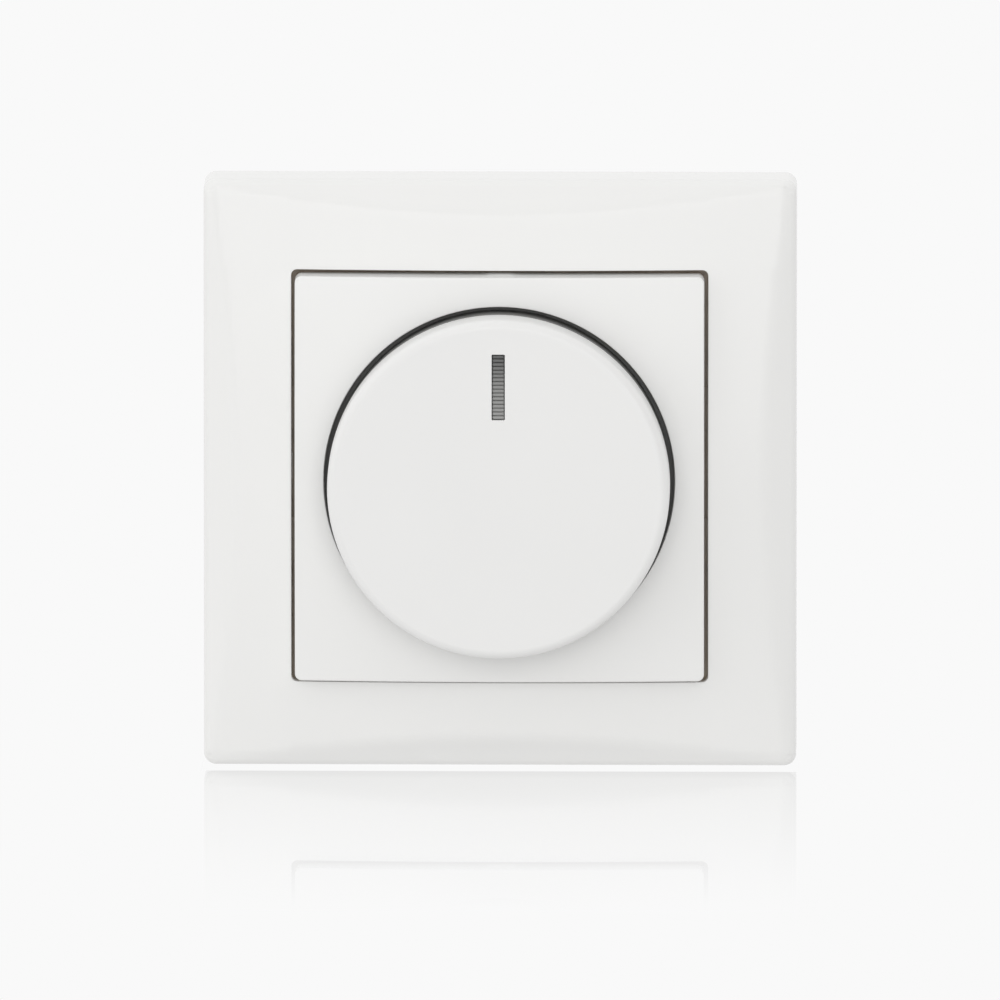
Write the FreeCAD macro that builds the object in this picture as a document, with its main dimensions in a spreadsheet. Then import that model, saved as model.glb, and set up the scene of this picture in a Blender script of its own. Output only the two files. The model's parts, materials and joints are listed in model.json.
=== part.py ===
import FreeCAD, Part
import os
import Sketcher

# Rotary dimmer switch for a flush wall box. Millimetres, +Z up, the front faces -Y, and the
# wall surface is the plane y = 0 with the origin in the middle of the mounting ring.
# Depths are counted forward from the wall, so a point at depth d has y = -d, and what
# stands in the wall box has a negative depth.

SIZES = {
    # Cover frame
    "frame_width": 80.0,
    "frame_corner_radius": 1.6,
    "frame_edge_height": 8.0,
    "frame_crown": 12.52,
    "frame_crown_radius": 354.0,
    "frame_flank_slope": 0.633,
    "frame_rim_drop": 0.5,
    "frame_rim_slope": 1.9,
    "frame_wall": 2.0,
    "frame_opening_radius": 0.8,
    "frame_lip_round": 0.4,
    "frame_rib_width": 1.2,
    "frame_rib_spread": 24.0,
    # Centre plate
    "plate_band": 3.9,
    "plate_gap": 0.55,
    "plate_corner_radius": 0.9,
    "plate_crown": 15.5,
    "plate_crown_radius": 300.0,
    "plate_wall": 2.0,
    "plate_skirt": 1.6,
    "plate_back": 7.4,
    "plate_edge_round": 0.5,
    "plate_tab_width": 18.0,
    "plate_tab_thickness": 1.0,
    "plate_tab_reach": 1.3,
    "leg_width": 5.0,
    "leg_thickness": 1.5,
    "leg_offset_side": 15.5,
    "leg_inset": 5.15,
    "leg_hook_reach": 0.8,
    "leg_hook_length": 1.75,
    "leg_clearance": 0.3,
    # Knob
    "knob_diameter": 46.16,
    "knob_gap": 0.62,
    "knob_front": 23.0,
    "knob_edge_round": 1.2,
    "cap_back": 17.3,
    "cap_wall": 1.6,
    "cap_fit": 0.1,
    "core_skirt_step": 0.13,
    "core_wall": 1.6,
    "core_flange_reach": 0.9,
    "core_flange_front": 12.0,
    "core_flange_thickness": 1.2,
    "core_disc_gap": 1.0,
    "core_disc_thickness": 1.8,
    "hub_radius": 5.2,
    "hub_back": 8.0,
    "hub_split_width": 1.0,
    "hub_split_length": 6.0,
    "clip_wall": 0.7,
    "clip_length": 1.5,
    "clip_gap": 2.0,
    "clip_fit": 0.02,
    "pointer_width": 1.75,
    "pointer_length": 8.92,
    "pointer_end_gap": 4.58,
    "pointer_fit": 0.07,
    "pointer_foot_margin": 0.75,
    "pointer_foot_fit": 0.05,
    "pointer_recess": 0.15,
    "pointer_rib_count": 17,
    "pointer_rib_depth": 0.2,
    # Shaft, bushing and rotary control
    "shaft_radius": 3.0,
    "shaft_flat": 2.0,
    "shaft_front": 18.6,
    "shaft_run_clearance": 0.04,
    "shaft_drive_clearance": 0.07,
    "press_travel": 1.8,
    "press_clearance": 0.3,
    "bushing_radius": 4.8,
    "bushing_flange": 1.0,
    "nut_across_corners": 16.2,
    "nut_thickness": 2.0,
    "washer_radius": 7.5,
    "washer_thickness": 0.5,
    "thread_fit": 0.03,
    "control_radius": 8.5,
    "control_wall": 0.9,
    "control_depth": 4.5,
    "track_thickness": 0.6,
    "track_gap_width": 4.0,
    "rotor_radius": 6.8,
    "rotor_thickness": 1.2,
    "rotor_play": 0.8,
    "wiper_width": 2.4,
    "wiper_clearance": 0.25,
    # Push switch
    "switch_width": 14.0,
    "switch_depth": 8.0,
    "plunger_radius": 4.2,
    "plunger_head": 1.5,
    "plunger_stem_radius": 2.0,
    "plunger_stem_length": 4.3,
    "plunger_run_clearance": 0.06,
    "plunger_tip_gap": 0.1,
    "spring_radius": 3.1,
    "spring_wire_radius": 0.25,
    "spring_turns": 3.0,
    "spring_room": 3.6,
    "spring_end_gap": 0.05,
    # Module
    "support_gap": 2.5,
    "support_chamfer": 6.0,
    "support_thickness": 1.5,
    "support_rim_height": 2.5,
    "support_rim_thickness": 1.0,
    "support_rim_length": 40.0,
    "support_rim_clearance": 0.3,
    "fixing_margin": 5.5,
    "fixing_slot_width": 3.6,
    "fixing_slot_length": 6.0,
    "module_width": 39.0,
    "module_height": 40.0,
    "module_chamfer": 4.0,
    "module_wall": 1.8,
    "module_back": 24.0,
    "lid_flange": 1.0,
    "lid_platform_width": 28.0,
    "lid_platform_front": 3.0,
    "lid_wall": 1.5,
    "lid_fit": 0.3,
    "post_inset": 3.9,
    "post_radius": 2.6,
    "screw_radius": 1.2,
    "screw_head_radius": 2.4,
    "screw_head_height": 1.4,
    "screw_length": 9.5,
    "screw_slot_width": 0.7,
    "screw_slot_depth": 0.6,
    "screw_fit": 0.05,
    # Electronics
    "board_thickness": 1.6,
    "board_clearance": 0.2,
    "board_chamfer": 8.0,
    "ledge_length": 12.0,
    "triac_width": 9.6,
    "triac_body_length": 9.0,
    "triac_tab_length": 6.0,
    "triac_split": 2.0,
    "triac_height": 4.4,
    "triac_tab_height": 1.3,
    "triac_middle_up": 12.4,
    "choke_radius": 3.2,
    "choke_bore": 1.7,
    "choke_width": 5.0,
    "choke_wire": 0.7,
    "choke_fit": 0.03,
    "choke_gap": 2.4,
    "capacitor_width": 6.5,
    "capacitor_length": 13.0,
    "capacitor_height": 8.5,
    "capacitor_gap": 1.2,
    "fuse_length": 20.0,
    "fuse_radius": 2.6,
    "fuse_tube_radius": 2.4,
    "fuse_cap_length": 3.0,
    "fuse_down": 12.2,
    "fuse_clip_wall": 0.6,
    "fuse_clip_fit": 0.05,
    "fuse_lift": 0.5,
    "terminal_side_gap": 5.05,
    "terminal_width": 6.5,
    "terminal_depth": 6.6,
    "terminal_down": 12.2,
    "terminal_screw_radius": 1.5,
    "terminal_head_radius": 2.5,
    "terminal_head_height": 1.8,
    "terminal_shank_length": 2.0,
    "terminal_fit": 0.05,
    "wire_hole_radius": 1.8,
    "wire_hole_depth": 17.0,
    "access_hole_clearance": 0.3,
    "vent_width": 1.4,
    "vent_length": 10.0,
    "vent_pitch": 5.0,
    # Spreading claws
    "claw_thickness": 1.2,
    "claw_width": 10.0,
    "claw_pivot_gap": 2.2,
    "claw_pivot_depth": 4.4,
    "claw_tab_inner": 1.3,
    "claw_tab_length": 6.1,
    "claw_back": 21.0,
    "claw_tooth": 1.3,
    "claw_notch": 4.0,
    "claw_pin_radius": 1.0,
    "claw_pin_length": 1.6,
    "claw_slot_start": 0.5,
    "claw_slot_fit": 0.15,
    "claw_screw_offset": 2.3,
    "claw_screw_radius": 1.5,
    "claw_screw_head_radius": 2.4,
    "claw_screw_head_height": 1.8,
    "claw_screw_back": 14.0,
    "lug_thickness": 1.2,
    "lug_clearance": 0.4,
    "lug_margin": 0.85,
    "run_clearance": 0.05,
}

TOOL_OVERRUN = 5.0

doc = FreeCAD.newDocument("RotaryDimmer")
sheet = doc.addObject("Spreadsheet::Sheet", "Sizes")
for row, (alias, number) in enumerate(SIZES.items(), start=1):
    sheet.set(f"A{row}", alias)
    sheet.set(f"B{row}", str(number))
    sheet.setAlias(f"B{row}", alias)
doc.recompute()


class Size:
    """A number together with the sheet formula that gives it."""

    def __init__(self, number, formula):
        self.number = number
        self.formula = formula

    def __add__(self, other):
        other = as_size(other)
        return Size(self.number + other.number, f"({self.formula} + {other.formula})")

    def __sub__(self, other):
        other = as_size(other)
        return Size(self.number - other.number, f"({self.formula} - {other.formula})")

    def __mul__(self, other):
        other = as_size(other)
        return Size(self.number * other.number, f"({self.formula} * {other.formula})")

    def __truediv__(self, other):
        other = as_size(other)
        return Size(self.number / other.number, f"({self.formula} / {other.formula})")

    def __radd__(self, other):
        return as_size(other) + self

    def __rsub__(self, other):
        return as_size(other) - self

    def __rmul__(self, other):
        return as_size(other) * self

    def __neg__(self):
        return Size(-self.number, f"(-1 * {self.formula})")


def as_size(value):
    """Turn a plain number into a Size."""
    if isinstance(value, Size):
        return value
    return Size(float(value), repr(float(value)))


class Dimensions:
    """The sheet's values, each reached by its own name."""


dim = Dimensions()
for alias in SIZES:
    setattr(dim, alias, Size(float(sheet.get(alias)), f"Sizes.{alias}"))


def bind(item, **sizes):
    """Tie properties of an object to sheet formulas."""
    for name, value in sizes.items():
        item.setExpression(name, as_size(value).formula)


def place(item, x=0.0, depth=0.0, z=0.0, turn=None):
    """Put an object at a point, turned first, with its place tied to the sheet."""
    if turn is not None:
        item.Placement = FreeCAD.Placement(FreeCAD.Vector(), turn)
    for letter, value in (("x", x), ("y", -as_size(depth)), ("z", z)):
        item.setExpression(f"Placement.Base.{letter}", as_size(value).formula)


FORWARD = FreeCAD.Rotation(FreeCAD.Vector(1, 0, 0), 90)
SIDEWAYS = FreeCAD.Rotation(FreeCAD.Vector(0, 1, 0), 90)
UPRIGHT = FreeCAD.Rotation()


def slab(name, x, depth, z):
    """Rectangular block between pairs of x, depth and z."""
    item = doc.addObject("Part::Box", name)
    bind(item, Length=x[1] - x[0], Width=depth[1] - depth[0], Height=z[1] - z[0])
    place(item, x[0], depth[1], z[0])
    return item


def rod(name, radius, start, end, x=0.0, z=0.0):
    """Round bar along the depth, between two depths."""
    item = doc.addObject("Part::Cylinder", name)
    bind(item, Radius=radius, Height=as_size(end) - start)
    place(item, x, start, z, FORWARD)
    return item


def cross_rod(name, radius, start, end, depth, z):
    """Round bar along X, between two x values."""
    item = doc.addObject("Part::Cylinder", name)
    bind(item, Radius=radius, Height=as_size(end) - start)
    place(item, start, depth, z, SIDEWAYS)
    return item


def upright_rod(name, radius, start, end, x, depth):
    """Round bar along Z, between two heights."""
    item = doc.addObject("Part::Cylinder", name)
    bind(item, Radius=radius, Height=as_size(end) - start)
    place(item, x, depth, start, UPRIGHT)
    return item


def dome(name, radius, crown):
    """Large ball whose foremost point is at the crown depth."""
    item = doc.addObject("Part::Sphere", name)
    bind(item, Radius=radius)
    place(item, depth=as_size(crown) - radius)
    return item


def fuse(name, pieces):
    """One solid from several."""
    item = doc.addObject("Part::MultiFuse", name)
    item.Shapes = pieces
    item.Refine = True
    return item


def cut(name, base, tools):
    """A solid with others taken away."""
    item = doc.addObject("Part::Cut", name)
    item.Base = base
    item.Tool = tools[0] if len(tools) == 1 else fuse(name + "_tools", tools)
    item.Refine = True
    return item


def common(name, pieces):
    """What several solids share."""
    item = doc.addObject("Part::MultiCommon", name)
    item.Shapes = pieces
    return item


def group(name, pieces):
    """Several separate solids under one name."""
    item = doc.addObject("Part::Compound", name)
    item.Links = pieces
    return item


def mirrored(name, source):
    """The left hand copy of a right hand piece."""
    item = doc.addObject("Part::Mirroring", name)
    item.Source = source
    item.Normal = FreeCAD.Vector(1, 0, 0)
    return item


def tangent_at_middle(edge):
    """Direction of an edge at its middle."""
    return edge.tangentAt((edge.FirstParameter + edge.LastParameter) / 2)


def rounded_edges(name, base, radius, wanted):
    """Round the edges that a test picks by their middle point and direction."""
    doc.recompute()
    picked = []
    for number, edge in enumerate(base.Shape.Edges, start=1):
        middle = edge.valueAt((edge.FirstParameter + edge.LastParameter) / 2)
        if wanted(edge, middle):
            picked.append((number, radius.number, radius.number))
    item = doc.addObject("Part::Fillet", name)
    item.Base = base
    item.Edges = picked
    return item


def origin_plane(body, role):
    """One of a body's own origin planes."""
    for feature in body.Origin.OriginFeatures:
        if feature.Role == role:
            return feature
    raise ValueError(role)


def outline_sketch(body, name, role, points):
    """Closed outline of straight edges with each corner tied to the sheet."""
    sketch = body.newObject("Sketcher::SketchObject", name)
    sketch.AttachmentSupport = [(origin_plane(body, role), "")]
    sketch.MapMode = "FlatFace"
    corners = [(as_size(across), as_size(along)) for across, along in points]
    spots = [FreeCAD.Vector(across.number, along.number, 0) for across, along in corners]
    for start, end in zip(spots, spots[1:] + spots[:1]):
        sketch.addGeometry(Part.LineSegment(start, end))
    count = len(spots)
    for index in range(count):
        sketch.addConstraint(Sketcher.Constraint("Coincident", index, 2, (index + 1) % count, 1))
    for index, corner in enumerate(corners):
        for kind, value, axis in (("DistanceX", corner[0], -2), ("DistanceY", corner[1], -1)):
            if value.number == 0:
                sketch.addConstraint(Sketcher.Constraint("PointOnObject", index, 1, axis))
                continue
            place_number = sketch.addConstraint(
                Sketcher.Constraint(kind, -1, 1, index, 1, value.number))
            sketch.setExpression(f"Constraints[{place_number}]", value.formula)
    return sketch


def turned(name, points):
    """Body of revolution about the knob's axis from (radius, depth) points."""
    body = doc.addObject("PartDesign::Body", name)
    sketch = outline_sketch(body, name + "_profile", "XY_Plane",
                            [(radius, -as_size(depth)) for radius, depth in points])
    feature = body.newObject("PartDesign::Revolution", name + "_turn")
    feature.Profile = sketch
    feature.ReferenceAxis = (sketch, ["V_Axis"])
    feature.Angle = 360.0
    body.Tip = feature
    return body


def padded(name, points, back, front):
    """Flat outline in X and Z, thickened between two depths."""
    body = doc.addObject("PartDesign::Body", name)
    sketch = outline_sketch(body, name + "_outline", "XZ_Plane", points)
    sketch.setExpression("AttachmentOffset.Base.z", as_size(back).formula)
    feature = body.newObject("PartDesign::Pad", name + "_pad")
    feature.Profile = sketch
    bind(feature, Length=as_size(front) - back)
    body.Tip = feature
    return body


def rectangle(half_x, half_z):
    """Corner points of a centred rectangle."""
    return [(half_x, -half_z), (half_x, half_z), (-half_x, half_z), (-half_x, -half_z)]


def octagon(half_x, half_z, chamfer):
    """Corner points of a centred rectangle with its corners cut off."""
    return [(half_x, chamfer - half_z), (half_x, half_z - chamfer),
            (half_x - chamfer, half_z), (chamfer - half_x, half_z),
            (-half_x, half_z - chamfer), (-half_x, chamfer - half_z),
            (chamfer - half_x, -half_z), (half_x - chamfer, -half_z)]


def rounded_block(name, half, radius, back, front):
    """Square block with rounded upright corners."""
    body = padded(name, rectangle(half, half), back, front)
    doc.recompute()
    pad = body.Tip
    names = []
    for number, edge in enumerate(pad.Shape.Edges, start=1):
        along = edge.tangentAt(edge.FirstParameter)
        if abs(along.y) > 0.99:
            names.append(f"Edge{number}")
    feature = body.newObject("PartDesign::Fillet", name + "_corners")
    feature.Base = (pad, names)
    bind(feature, Radius=radius)
    body.Tip = feature
    return body


def slotted_screw(name, radius, head_radius, head_height, head_seat, shank_end, x, z):
    """Pan head screw along the depth, its slotted head in front of its seat."""
    head = rod(name + "_head", head_radius, head_seat, head_seat + head_height, x, z)
    shank = rod(name + "_shank", radius, shank_end, head_seat, x, z)
    blank = fuse(name + "_blank", [head, shank])
    half = dim.screw_slot_width / 2
    top = head_seat + head_height
    slot = slab(name + "_slot", (x - head_radius, x + head_radius),
                (top - dim.screw_slot_depth, top), (z - half, z + half))
    return cut(name, blank, [slot])


def at_each(offset_x, offset_z):
    """The four places with plus and minus offsets."""
    x = as_size(offset_x)
    z = as_size(offset_z)
    return [(x, z), (-x, z), (-x, -z), (x, -z)]


# Depths and half widths that several pieces share
frame_half = dim.frame_width / 2
knob_radius = dim.knob_diameter / 2
knob_hole = knob_radius + dim.knob_gap
plate_half = knob_hole + dim.plate_band
opening_half = plate_half + dim.plate_gap
pointer_middle = knob_radius - dim.pointer_end_gap - dim.pointer_length / 2
cap_inside = knob_radius - dim.cap_wall
cap_ceiling = dim.knob_front - dim.cap_wall
core_front = cap_ceiling - dim.core_disc_gap
core_disc_back = core_front - dim.core_disc_thickness
core_radius = cap_inside - dim.cap_fit
core_skirt = knob_radius - dim.core_skirt_step
flange_back = dim.core_flange_front - dim.core_flange_thickness
flange_radius = knob_hole + dim.core_flange_reach
shaft_bore = dim.shaft_radius + dim.shaft_run_clearance
module_half_x = dim.module_width / 2
module_half_z = dim.module_height / 2
lid_inside = dim.lid_platform_front - dim.lid_wall
control_front = lid_inside - dim.bushing_flange
control_back = control_front - dim.control_depth
switch_back = control_back - dim.switch_depth
board_front = switch_back
board_back = board_front - dim.board_thickness
module_floor = dim.module_wall - dim.module_back
bushing_front = dim.hub_back - dim.press_travel - dim.press_clearance
rotor_front = control_front - dim.rotor_play
rotor_back = rotor_front - dim.rotor_thickness
track_back = control_back + dim.control_wall
track_front = track_back + dim.track_thickness
plunger_front = control_back - dim.plunger_tip_gap
plunger_shoulder = plunger_front - dim.plunger_head
spring_seat = plunger_shoulder - dim.spring_room
drive_flat = dim.shaft_flat + dim.shaft_drive_clearance
drive_bore = dim.shaft_radius + dim.shaft_drive_clearance
screw_bore = dim.screw_radius + dim.screw_fit
leg_inner = plate_half - dim.leg_inset - dim.leg_thickness / 2
leg_outer = leg_inner + dim.leg_thickness
support_half = frame_half - dim.frame_wall - dim.support_gap
post_side = module_half_x - dim.post_inset
post_up = module_half_z - dim.post_inset
clamp_back = board_back - dim.terminal_depth
terminal_pitch = module_half_x - dim.module_wall - dim.terminal_side_gap - dim.terminal_width / 2
claw_pivot = module_half_x + dim.claw_pivot_gap
claw_leg = claw_pivot + dim.claw_tab_length
claw_screw_side = claw_pivot + dim.claw_screw_offset
front_limit = dim.knob_front + TOOL_OVERRUN


def hipped_block(name, half, edge_depth, slope):
    """Square block whose four sides lean in at a slope above the depth of its edge."""
    top = dim.frame_crown + TOOL_OVERRUN
    inner = half - (top - edge_depth) / slope
    roof = doc.addObject("Part::Wedge", name + "_roof")
    bind(roof, Ymin=-top, Xmin=-inner, Xmax=inner, Zmin=-inner, Zmax=inner)
    bind(roof, Ymax=-edge_depth, X2min=-half, X2max=half, Z2min=-half, Z2max=half)
    foot = slab(name + "_foot", (-half, half), (as_size(0), edge_depth), (-half, half))
    return fuse(name, [foot, roof])


def frame_form(name, inset):
    """Shallow dome that flat flanks cut along its four sides, moved inward by an inset."""
    half = frame_half - inset
    block = rounded_block(name + "_block", half, dim.frame_corner_radius, as_size(0), front_limit)
    flanks = hipped_block(name + "_flanks", half, dim.frame_edge_height - inset, dim.frame_flank_slope)
    crown = dome(name + "_dome", dim.frame_crown_radius - inset, dim.frame_crown - inset)
    return common(name, [block, flanks, crown])


def build_cover_frame():
    """Moulded shell with a square opening and ribs that locate it on the mounting ring."""
    rim = hipped_block("frame_rim", frame_half, dim.frame_edge_height - dim.frame_rim_drop,
                       dim.frame_rim_slope)
    skin = common("frame_skin", [frame_form("frame_outside", as_size(0)), rim])
    hollow = frame_form("frame_inside", dim.frame_wall)
    window = rounded_block("frame_window", opening_half, dim.frame_opening_radius,
                           as_size(0), front_limit)
    shell = cut("frame_shell", skin, [hollow, window])
    mouth = opening_half.number + dim.frame_lip_round.number
    ball = dim.frame_crown_radius.number
    ball_centre = FreeCAD.Vector(0, ball - dim.frame_crown.number, 0)
    outer_skin = ball - dim.frame_wall.number / 2
    soft_lip = rounded_edges(
        "frame_soft_lip", shell, dim.frame_lip_round,
        lambda edge, middle: middle.distanceToPoint(ball_centre) > outer_skin
        and max(abs(middle.x), abs(middle.z)) < mouth
        and abs(tangent_at_middle(edge).y) < 0.7)
    reach_in = support_half + dim.support_rim_clearance
    reach_out = frame_half - dim.frame_wall / 2
    half_rib = dim.frame_rib_width / 2
    height = (dim.support_thickness, dim.frame_edge_height - dim.frame_wall / 2)
    ribs = []
    for side, along in ((1, 1), (1, -1), (-1, 1), (-1, -1)):
        middle = along * dim.frame_rib_spread / 2
        across = (middle - half_rib, middle + half_rib)
        span = (reach_in, reach_out) if side > 0 else (-reach_out, -reach_in)
        tag = f"frame_rib_{'right' if side > 0 else 'left'}_{'high' if along > 0 else 'low'}"
        ribs.append(slab(tag + "_side", span, height, across))
        ribs.append(slab(tag + "_end", across, height, span))
    return fuse("cover_frame", [soft_lip] + ribs)


def build_centre_plate():
    """Domed plate with the knob's hole, a skirt, hold-down tabs and snap legs."""
    block = rounded_block("plate_block", plate_half, dim.plate_corner_radius,
                          dim.plate_back, front_limit)
    skin = common("plate_skin", [block, dome("plate_dome", dim.plate_crown_radius, dim.plate_crown)])
    back_depth = dim.plate_back.number
    rim = plate_half.number - dim.plate_corner_radius.number
    soft = rounded_edges(
        "plate_soft_edge", skin, dim.plate_edge_round,
        lambda edge, middle: -middle.y > back_depth + 0.5
        and abs(edge.tangentAt(edge.FirstParameter).y) < 0.5
        and max(abs(middle.x), abs(middle.z)) > rim)
    inner_half = plate_half - dim.plate_skirt
    room = common("plate_room", [
        rounded_block("plate_room_block", inner_half, dim.plate_corner_radius,
                      dim.plate_back - TOOL_OVERRUN, front_limit),
        dome("plate_room_dome", dim.plate_crown_radius - dim.plate_wall,
             dim.plate_crown - dim.plate_wall)])
    hole = rod("plate_hole", knob_hole, as_size(0), front_limit)
    shell = cut("plate_shell", soft, [room, hole])
    half_tab = dim.plate_tab_width / 2
    tab_depth = (dim.plate_back, dim.plate_back + dim.plate_tab_thickness)
    tab_in = plate_half - dim.plate_skirt / 2
    tab_out = plate_half + dim.plate_tab_reach
    extras = []
    for side, tag in ((1, "right"), (-1, "left")):
        span = (tab_in, tab_out) if side > 0 else (-tab_out, -tab_in)
        extras.append(slab(f"plate_tab_{tag}", span, tab_depth, (-half_tab, half_tab)))
        extras.append(slab(f"plate_tab_end_{tag}", (-half_tab, half_tab), tab_depth, span))
    leg_top = dim.plate_crown - dim.plate_wall - dim.leg_thickness / 2
    hook_front = -dim.leg_clearance
    hook_back = hook_front - dim.leg_hook_length
    half_leg = dim.leg_width / 2
    for number, (x, z) in enumerate(at_each(dim.leg_offset_side, 1), start=1):
        above = z.number > 0
        across = (x - half_leg, x + half_leg)
        leg_span = (leg_inner, leg_outer) if above else (-leg_outer, -leg_inner)
        hook_in = leg_inner - dim.leg_hook_reach
        hook_span = (hook_in, leg_outer) if above else (-leg_outer, -hook_in)
        extras.append(slab(f"plate_leg_{number}", across, (hook_back, leg_top), leg_span))
        extras.append(slab(f"plate_hook_{number}", across, (hook_back, hook_front), hook_span))
    return fuse("centre_plate", [shell] + extras)


def build_knob_cap():
    """Shallow cup with a rounded front edge and a slot for the pointer."""
    cup = turned("cap_cup", [
        (0, dim.knob_front), (knob_radius, dim.knob_front), (knob_radius, dim.cap_back),
        (cap_inside, dim.cap_back), (cap_inside, cap_ceiling), (0, cap_ceiling)])
    middle_depth = (dim.cap_back.number + dim.knob_front.number) / 2
    soft = rounded_edges(
        "cap_soft_edge", cup, dim.knob_edge_round,
        lambda edge, middle: -middle.y > middle_depth
        and middle.x * middle.x + middle.z * middle.z > cap_inside.number ** 2 + 1.0
        and abs(edge.tangentAt(edge.FirstParameter).y) < 0.5)
    half_width = dim.pointer_width / 2
    half_length = dim.pointer_length / 2
    slot = slab("cap_slot", (-half_width, half_width), (core_front, front_limit),
                (pointer_middle - half_length, pointer_middle + half_length))
    return cut("knob_cap", soft, [slot])


def build_knob_core():
    """Grey knob body: disc under the cap, skirt, rear flange and split hub with a flat bore."""
    skirt_inside = core_skirt - dim.core_wall
    neck_inside = core_radius - dim.core_wall
    step = dim.cap_back - dim.core_wall
    bore_top = dim.shaft_front + dim.press_clearance
    blank = turned("core_blank", [
        (0, core_front), (core_radius, core_front), (core_radius, dim.cap_back),
        (core_skirt, dim.cap_back), (core_skirt, dim.core_flange_front),
        (flange_radius, dim.core_flange_front), (flange_radius, flange_back),
        (skirt_inside, flange_back), (skirt_inside, step), (neck_inside, step),
        (neck_inside, core_disc_back), (dim.hub_radius, core_disc_back),
        (dim.hub_radius, dim.hub_back), (drive_bore, dim.hub_back),
        (drive_bore, bore_top), (0, bore_top)])
    flat = slab("core_flat", (-drive_bore, drive_bore), (dim.hub_back, bore_top),
                (drive_flat, drive_bore + dim.clip_wall))
    half_split = dim.hub_split_width / 2
    reach = dim.hub_radius + dim.clip_wall
    split = slab("core_split", (-reach, reach),
                 (dim.hub_back, dim.hub_back + dim.hub_split_length), (-half_split, half_split))
    return cut("knob_core", fuse("core_solid", [blank, flat]), [split])


def build_indicator_window():
    """Ribbed pointer bar on a foot that the cap holds down on the core."""
    foot_front = cap_ceiling - dim.pointer_foot_fit
    bar_front = dim.knob_front - dim.pointer_recess
    half_bar = dim.pointer_width / 2 - dim.pointer_fit
    half_length = dim.pointer_length / 2 - dim.pointer_fit
    half_foot = half_bar + dim.pointer_foot_margin
    half_foot_length = half_length + dim.pointer_foot_margin
    foot = slab("pointer_foot", (-half_foot, half_foot), (core_front, foot_front),
                (pointer_middle - half_foot_length, pointer_middle + half_foot_length))
    low = pointer_middle - half_length
    bar = slab("pointer_bar", (-half_bar, half_bar), (core_front, bar_front),
               (low, pointer_middle + half_length))
    pitch = half_length * 2 / dim.pointer_rib_count
    grooves = []
    for index in range(int(dim.pointer_rib_count.number)):
        start = low + pitch * (index + 0.25)
        grooves.append(slab(f"pointer_groove_{index + 1}", (-half_foot, half_foot),
                            (bar_front - dim.pointer_rib_depth, bar_front),
                            (start, start + pitch / 2)))
    return cut("indicator_window", fuse("pointer_blank", [foot, bar]), grooves)


def build_hub_clip():
    """Open steel ring that squeezes the split hub onto the shaft."""
    inside = dim.hub_radius + dim.clip_fit
    outside = inside + dim.clip_wall
    start = dim.hub_back + dim.clip_length / 2
    ring = turned("clip_ring", [
        (inside, start), (inside, start + dim.clip_length),
        (outside, start + dim.clip_length), (outside, start)])
    half_gap = dim.clip_gap / 2
    gap = slab("clip_opening", (-half_gap, half_gap), (start, start + dim.clip_length),
               (-outside - dim.clip_wall, -dim.hub_radius / 2))
    return cut("hub_clip", ring, [gap])


def build_shaft():
    """Round shaft with a flat for the knob and a longer flat for the wiper rotor."""
    bar = rod("shaft_bar", dim.shaft_radius, control_back, dim.shaft_front)
    reach = dim.shaft_radius + dim.clip_wall
    knob_flat = slab("shaft_knob_flat", (-reach, reach),
                     (dim.hub_back - dim.press_clearance, dim.shaft_front + dim.press_clearance),
                     (dim.shaft_flat, reach))
    drive_start = rotor_front + dim.press_travel + dim.press_clearance
    rear_flat = slab("shaft_drive_flat", (-reach, reach),
                     (control_back - dim.press_clearance, drive_start), (dim.shaft_flat, reach))
    return cut("shaft", bar, [knob_flat, rear_flat])


def build_threaded_bushing():
    """Bushing with the control's front plate."""
    return turned("threaded_bushing", [
        (shaft_bore, bushing_front), (dim.bushing_radius, bushing_front),
        (dim.bushing_radius, lid_inside), (dim.control_radius, lid_inside),
        (dim.control_radius, control_front), (shaft_bore, control_front)])


def build_bushing_nut():
    """Thin hexagon nut on the bushing."""
    back = dim.lid_platform_front + dim.washer_thickness
    prism = doc.addObject("Part::Prism", "nut_prism")
    prism.Polygon = 6
    bind(prism, Circumradius=dim.nut_across_corners / 2, Height=dim.nut_thickness)
    place(prism, depth=back, turn=FORWARD)
    bore = rod("nut_bore", dim.bushing_radius + dim.thread_fit, back, back + dim.nut_thickness)
    return cut("bushing_nut", prism, [bore])


def build_lock_washer():
    """Washer between the nut and the lid."""
    back = dim.lid_platform_front
    front = back + dim.washer_thickness
    inside = dim.bushing_radius + dim.lid_fit / 3
    return turned("lock_washer", [
        (inside, back), (inside, front), (dim.washer_radius, front), (dim.washer_radius, back)])


def build_control_housing():
    """Round can of the rotary control, closed in front by the bushing's plate."""
    inside = dim.control_radius - dim.control_wall
    hole = dim.shaft_radius + dim.press_clearance
    return turned("control_housing", [
        (dim.control_radius, control_front), (dim.control_radius, control_back),
        (hole, control_back), (hole, track_back), (inside, track_back), (inside, control_front)])


def build_resistor_track():
    """Horseshoe track on the can's rear wall."""
    inside = dim.shaft_radius + dim.control_wall
    outside = dim.control_radius - dim.control_wall - dim.cap_fit
    ring = turned("track_ring", [
        (inside, track_back), (inside, track_front), (outside, track_front), (outside, track_back)])
    half_gap = dim.track_gap_width / 2
    gap = slab("track_opening", (-half_gap, half_gap), (track_back, track_front),
               (inside / 2, outside + dim.control_wall))
    return cut("resistor_track", ring, [gap])


def build_wiper_rotor():
    """Disc that the shaft turns and slides through."""
    disc = turned("rotor_disc", [
        (drive_bore, rotor_back), (drive_bore, rotor_front),
        (dim.rotor_radius, rotor_front), (dim.rotor_radius, rotor_back)])
    flat = slab("rotor_flat", (-drive_bore, drive_bore), (rotor_back, rotor_front),
                (drive_flat, drive_bore + dim.clip_wall))
    return fuse("wiper_rotor", [disc, flat])


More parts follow.
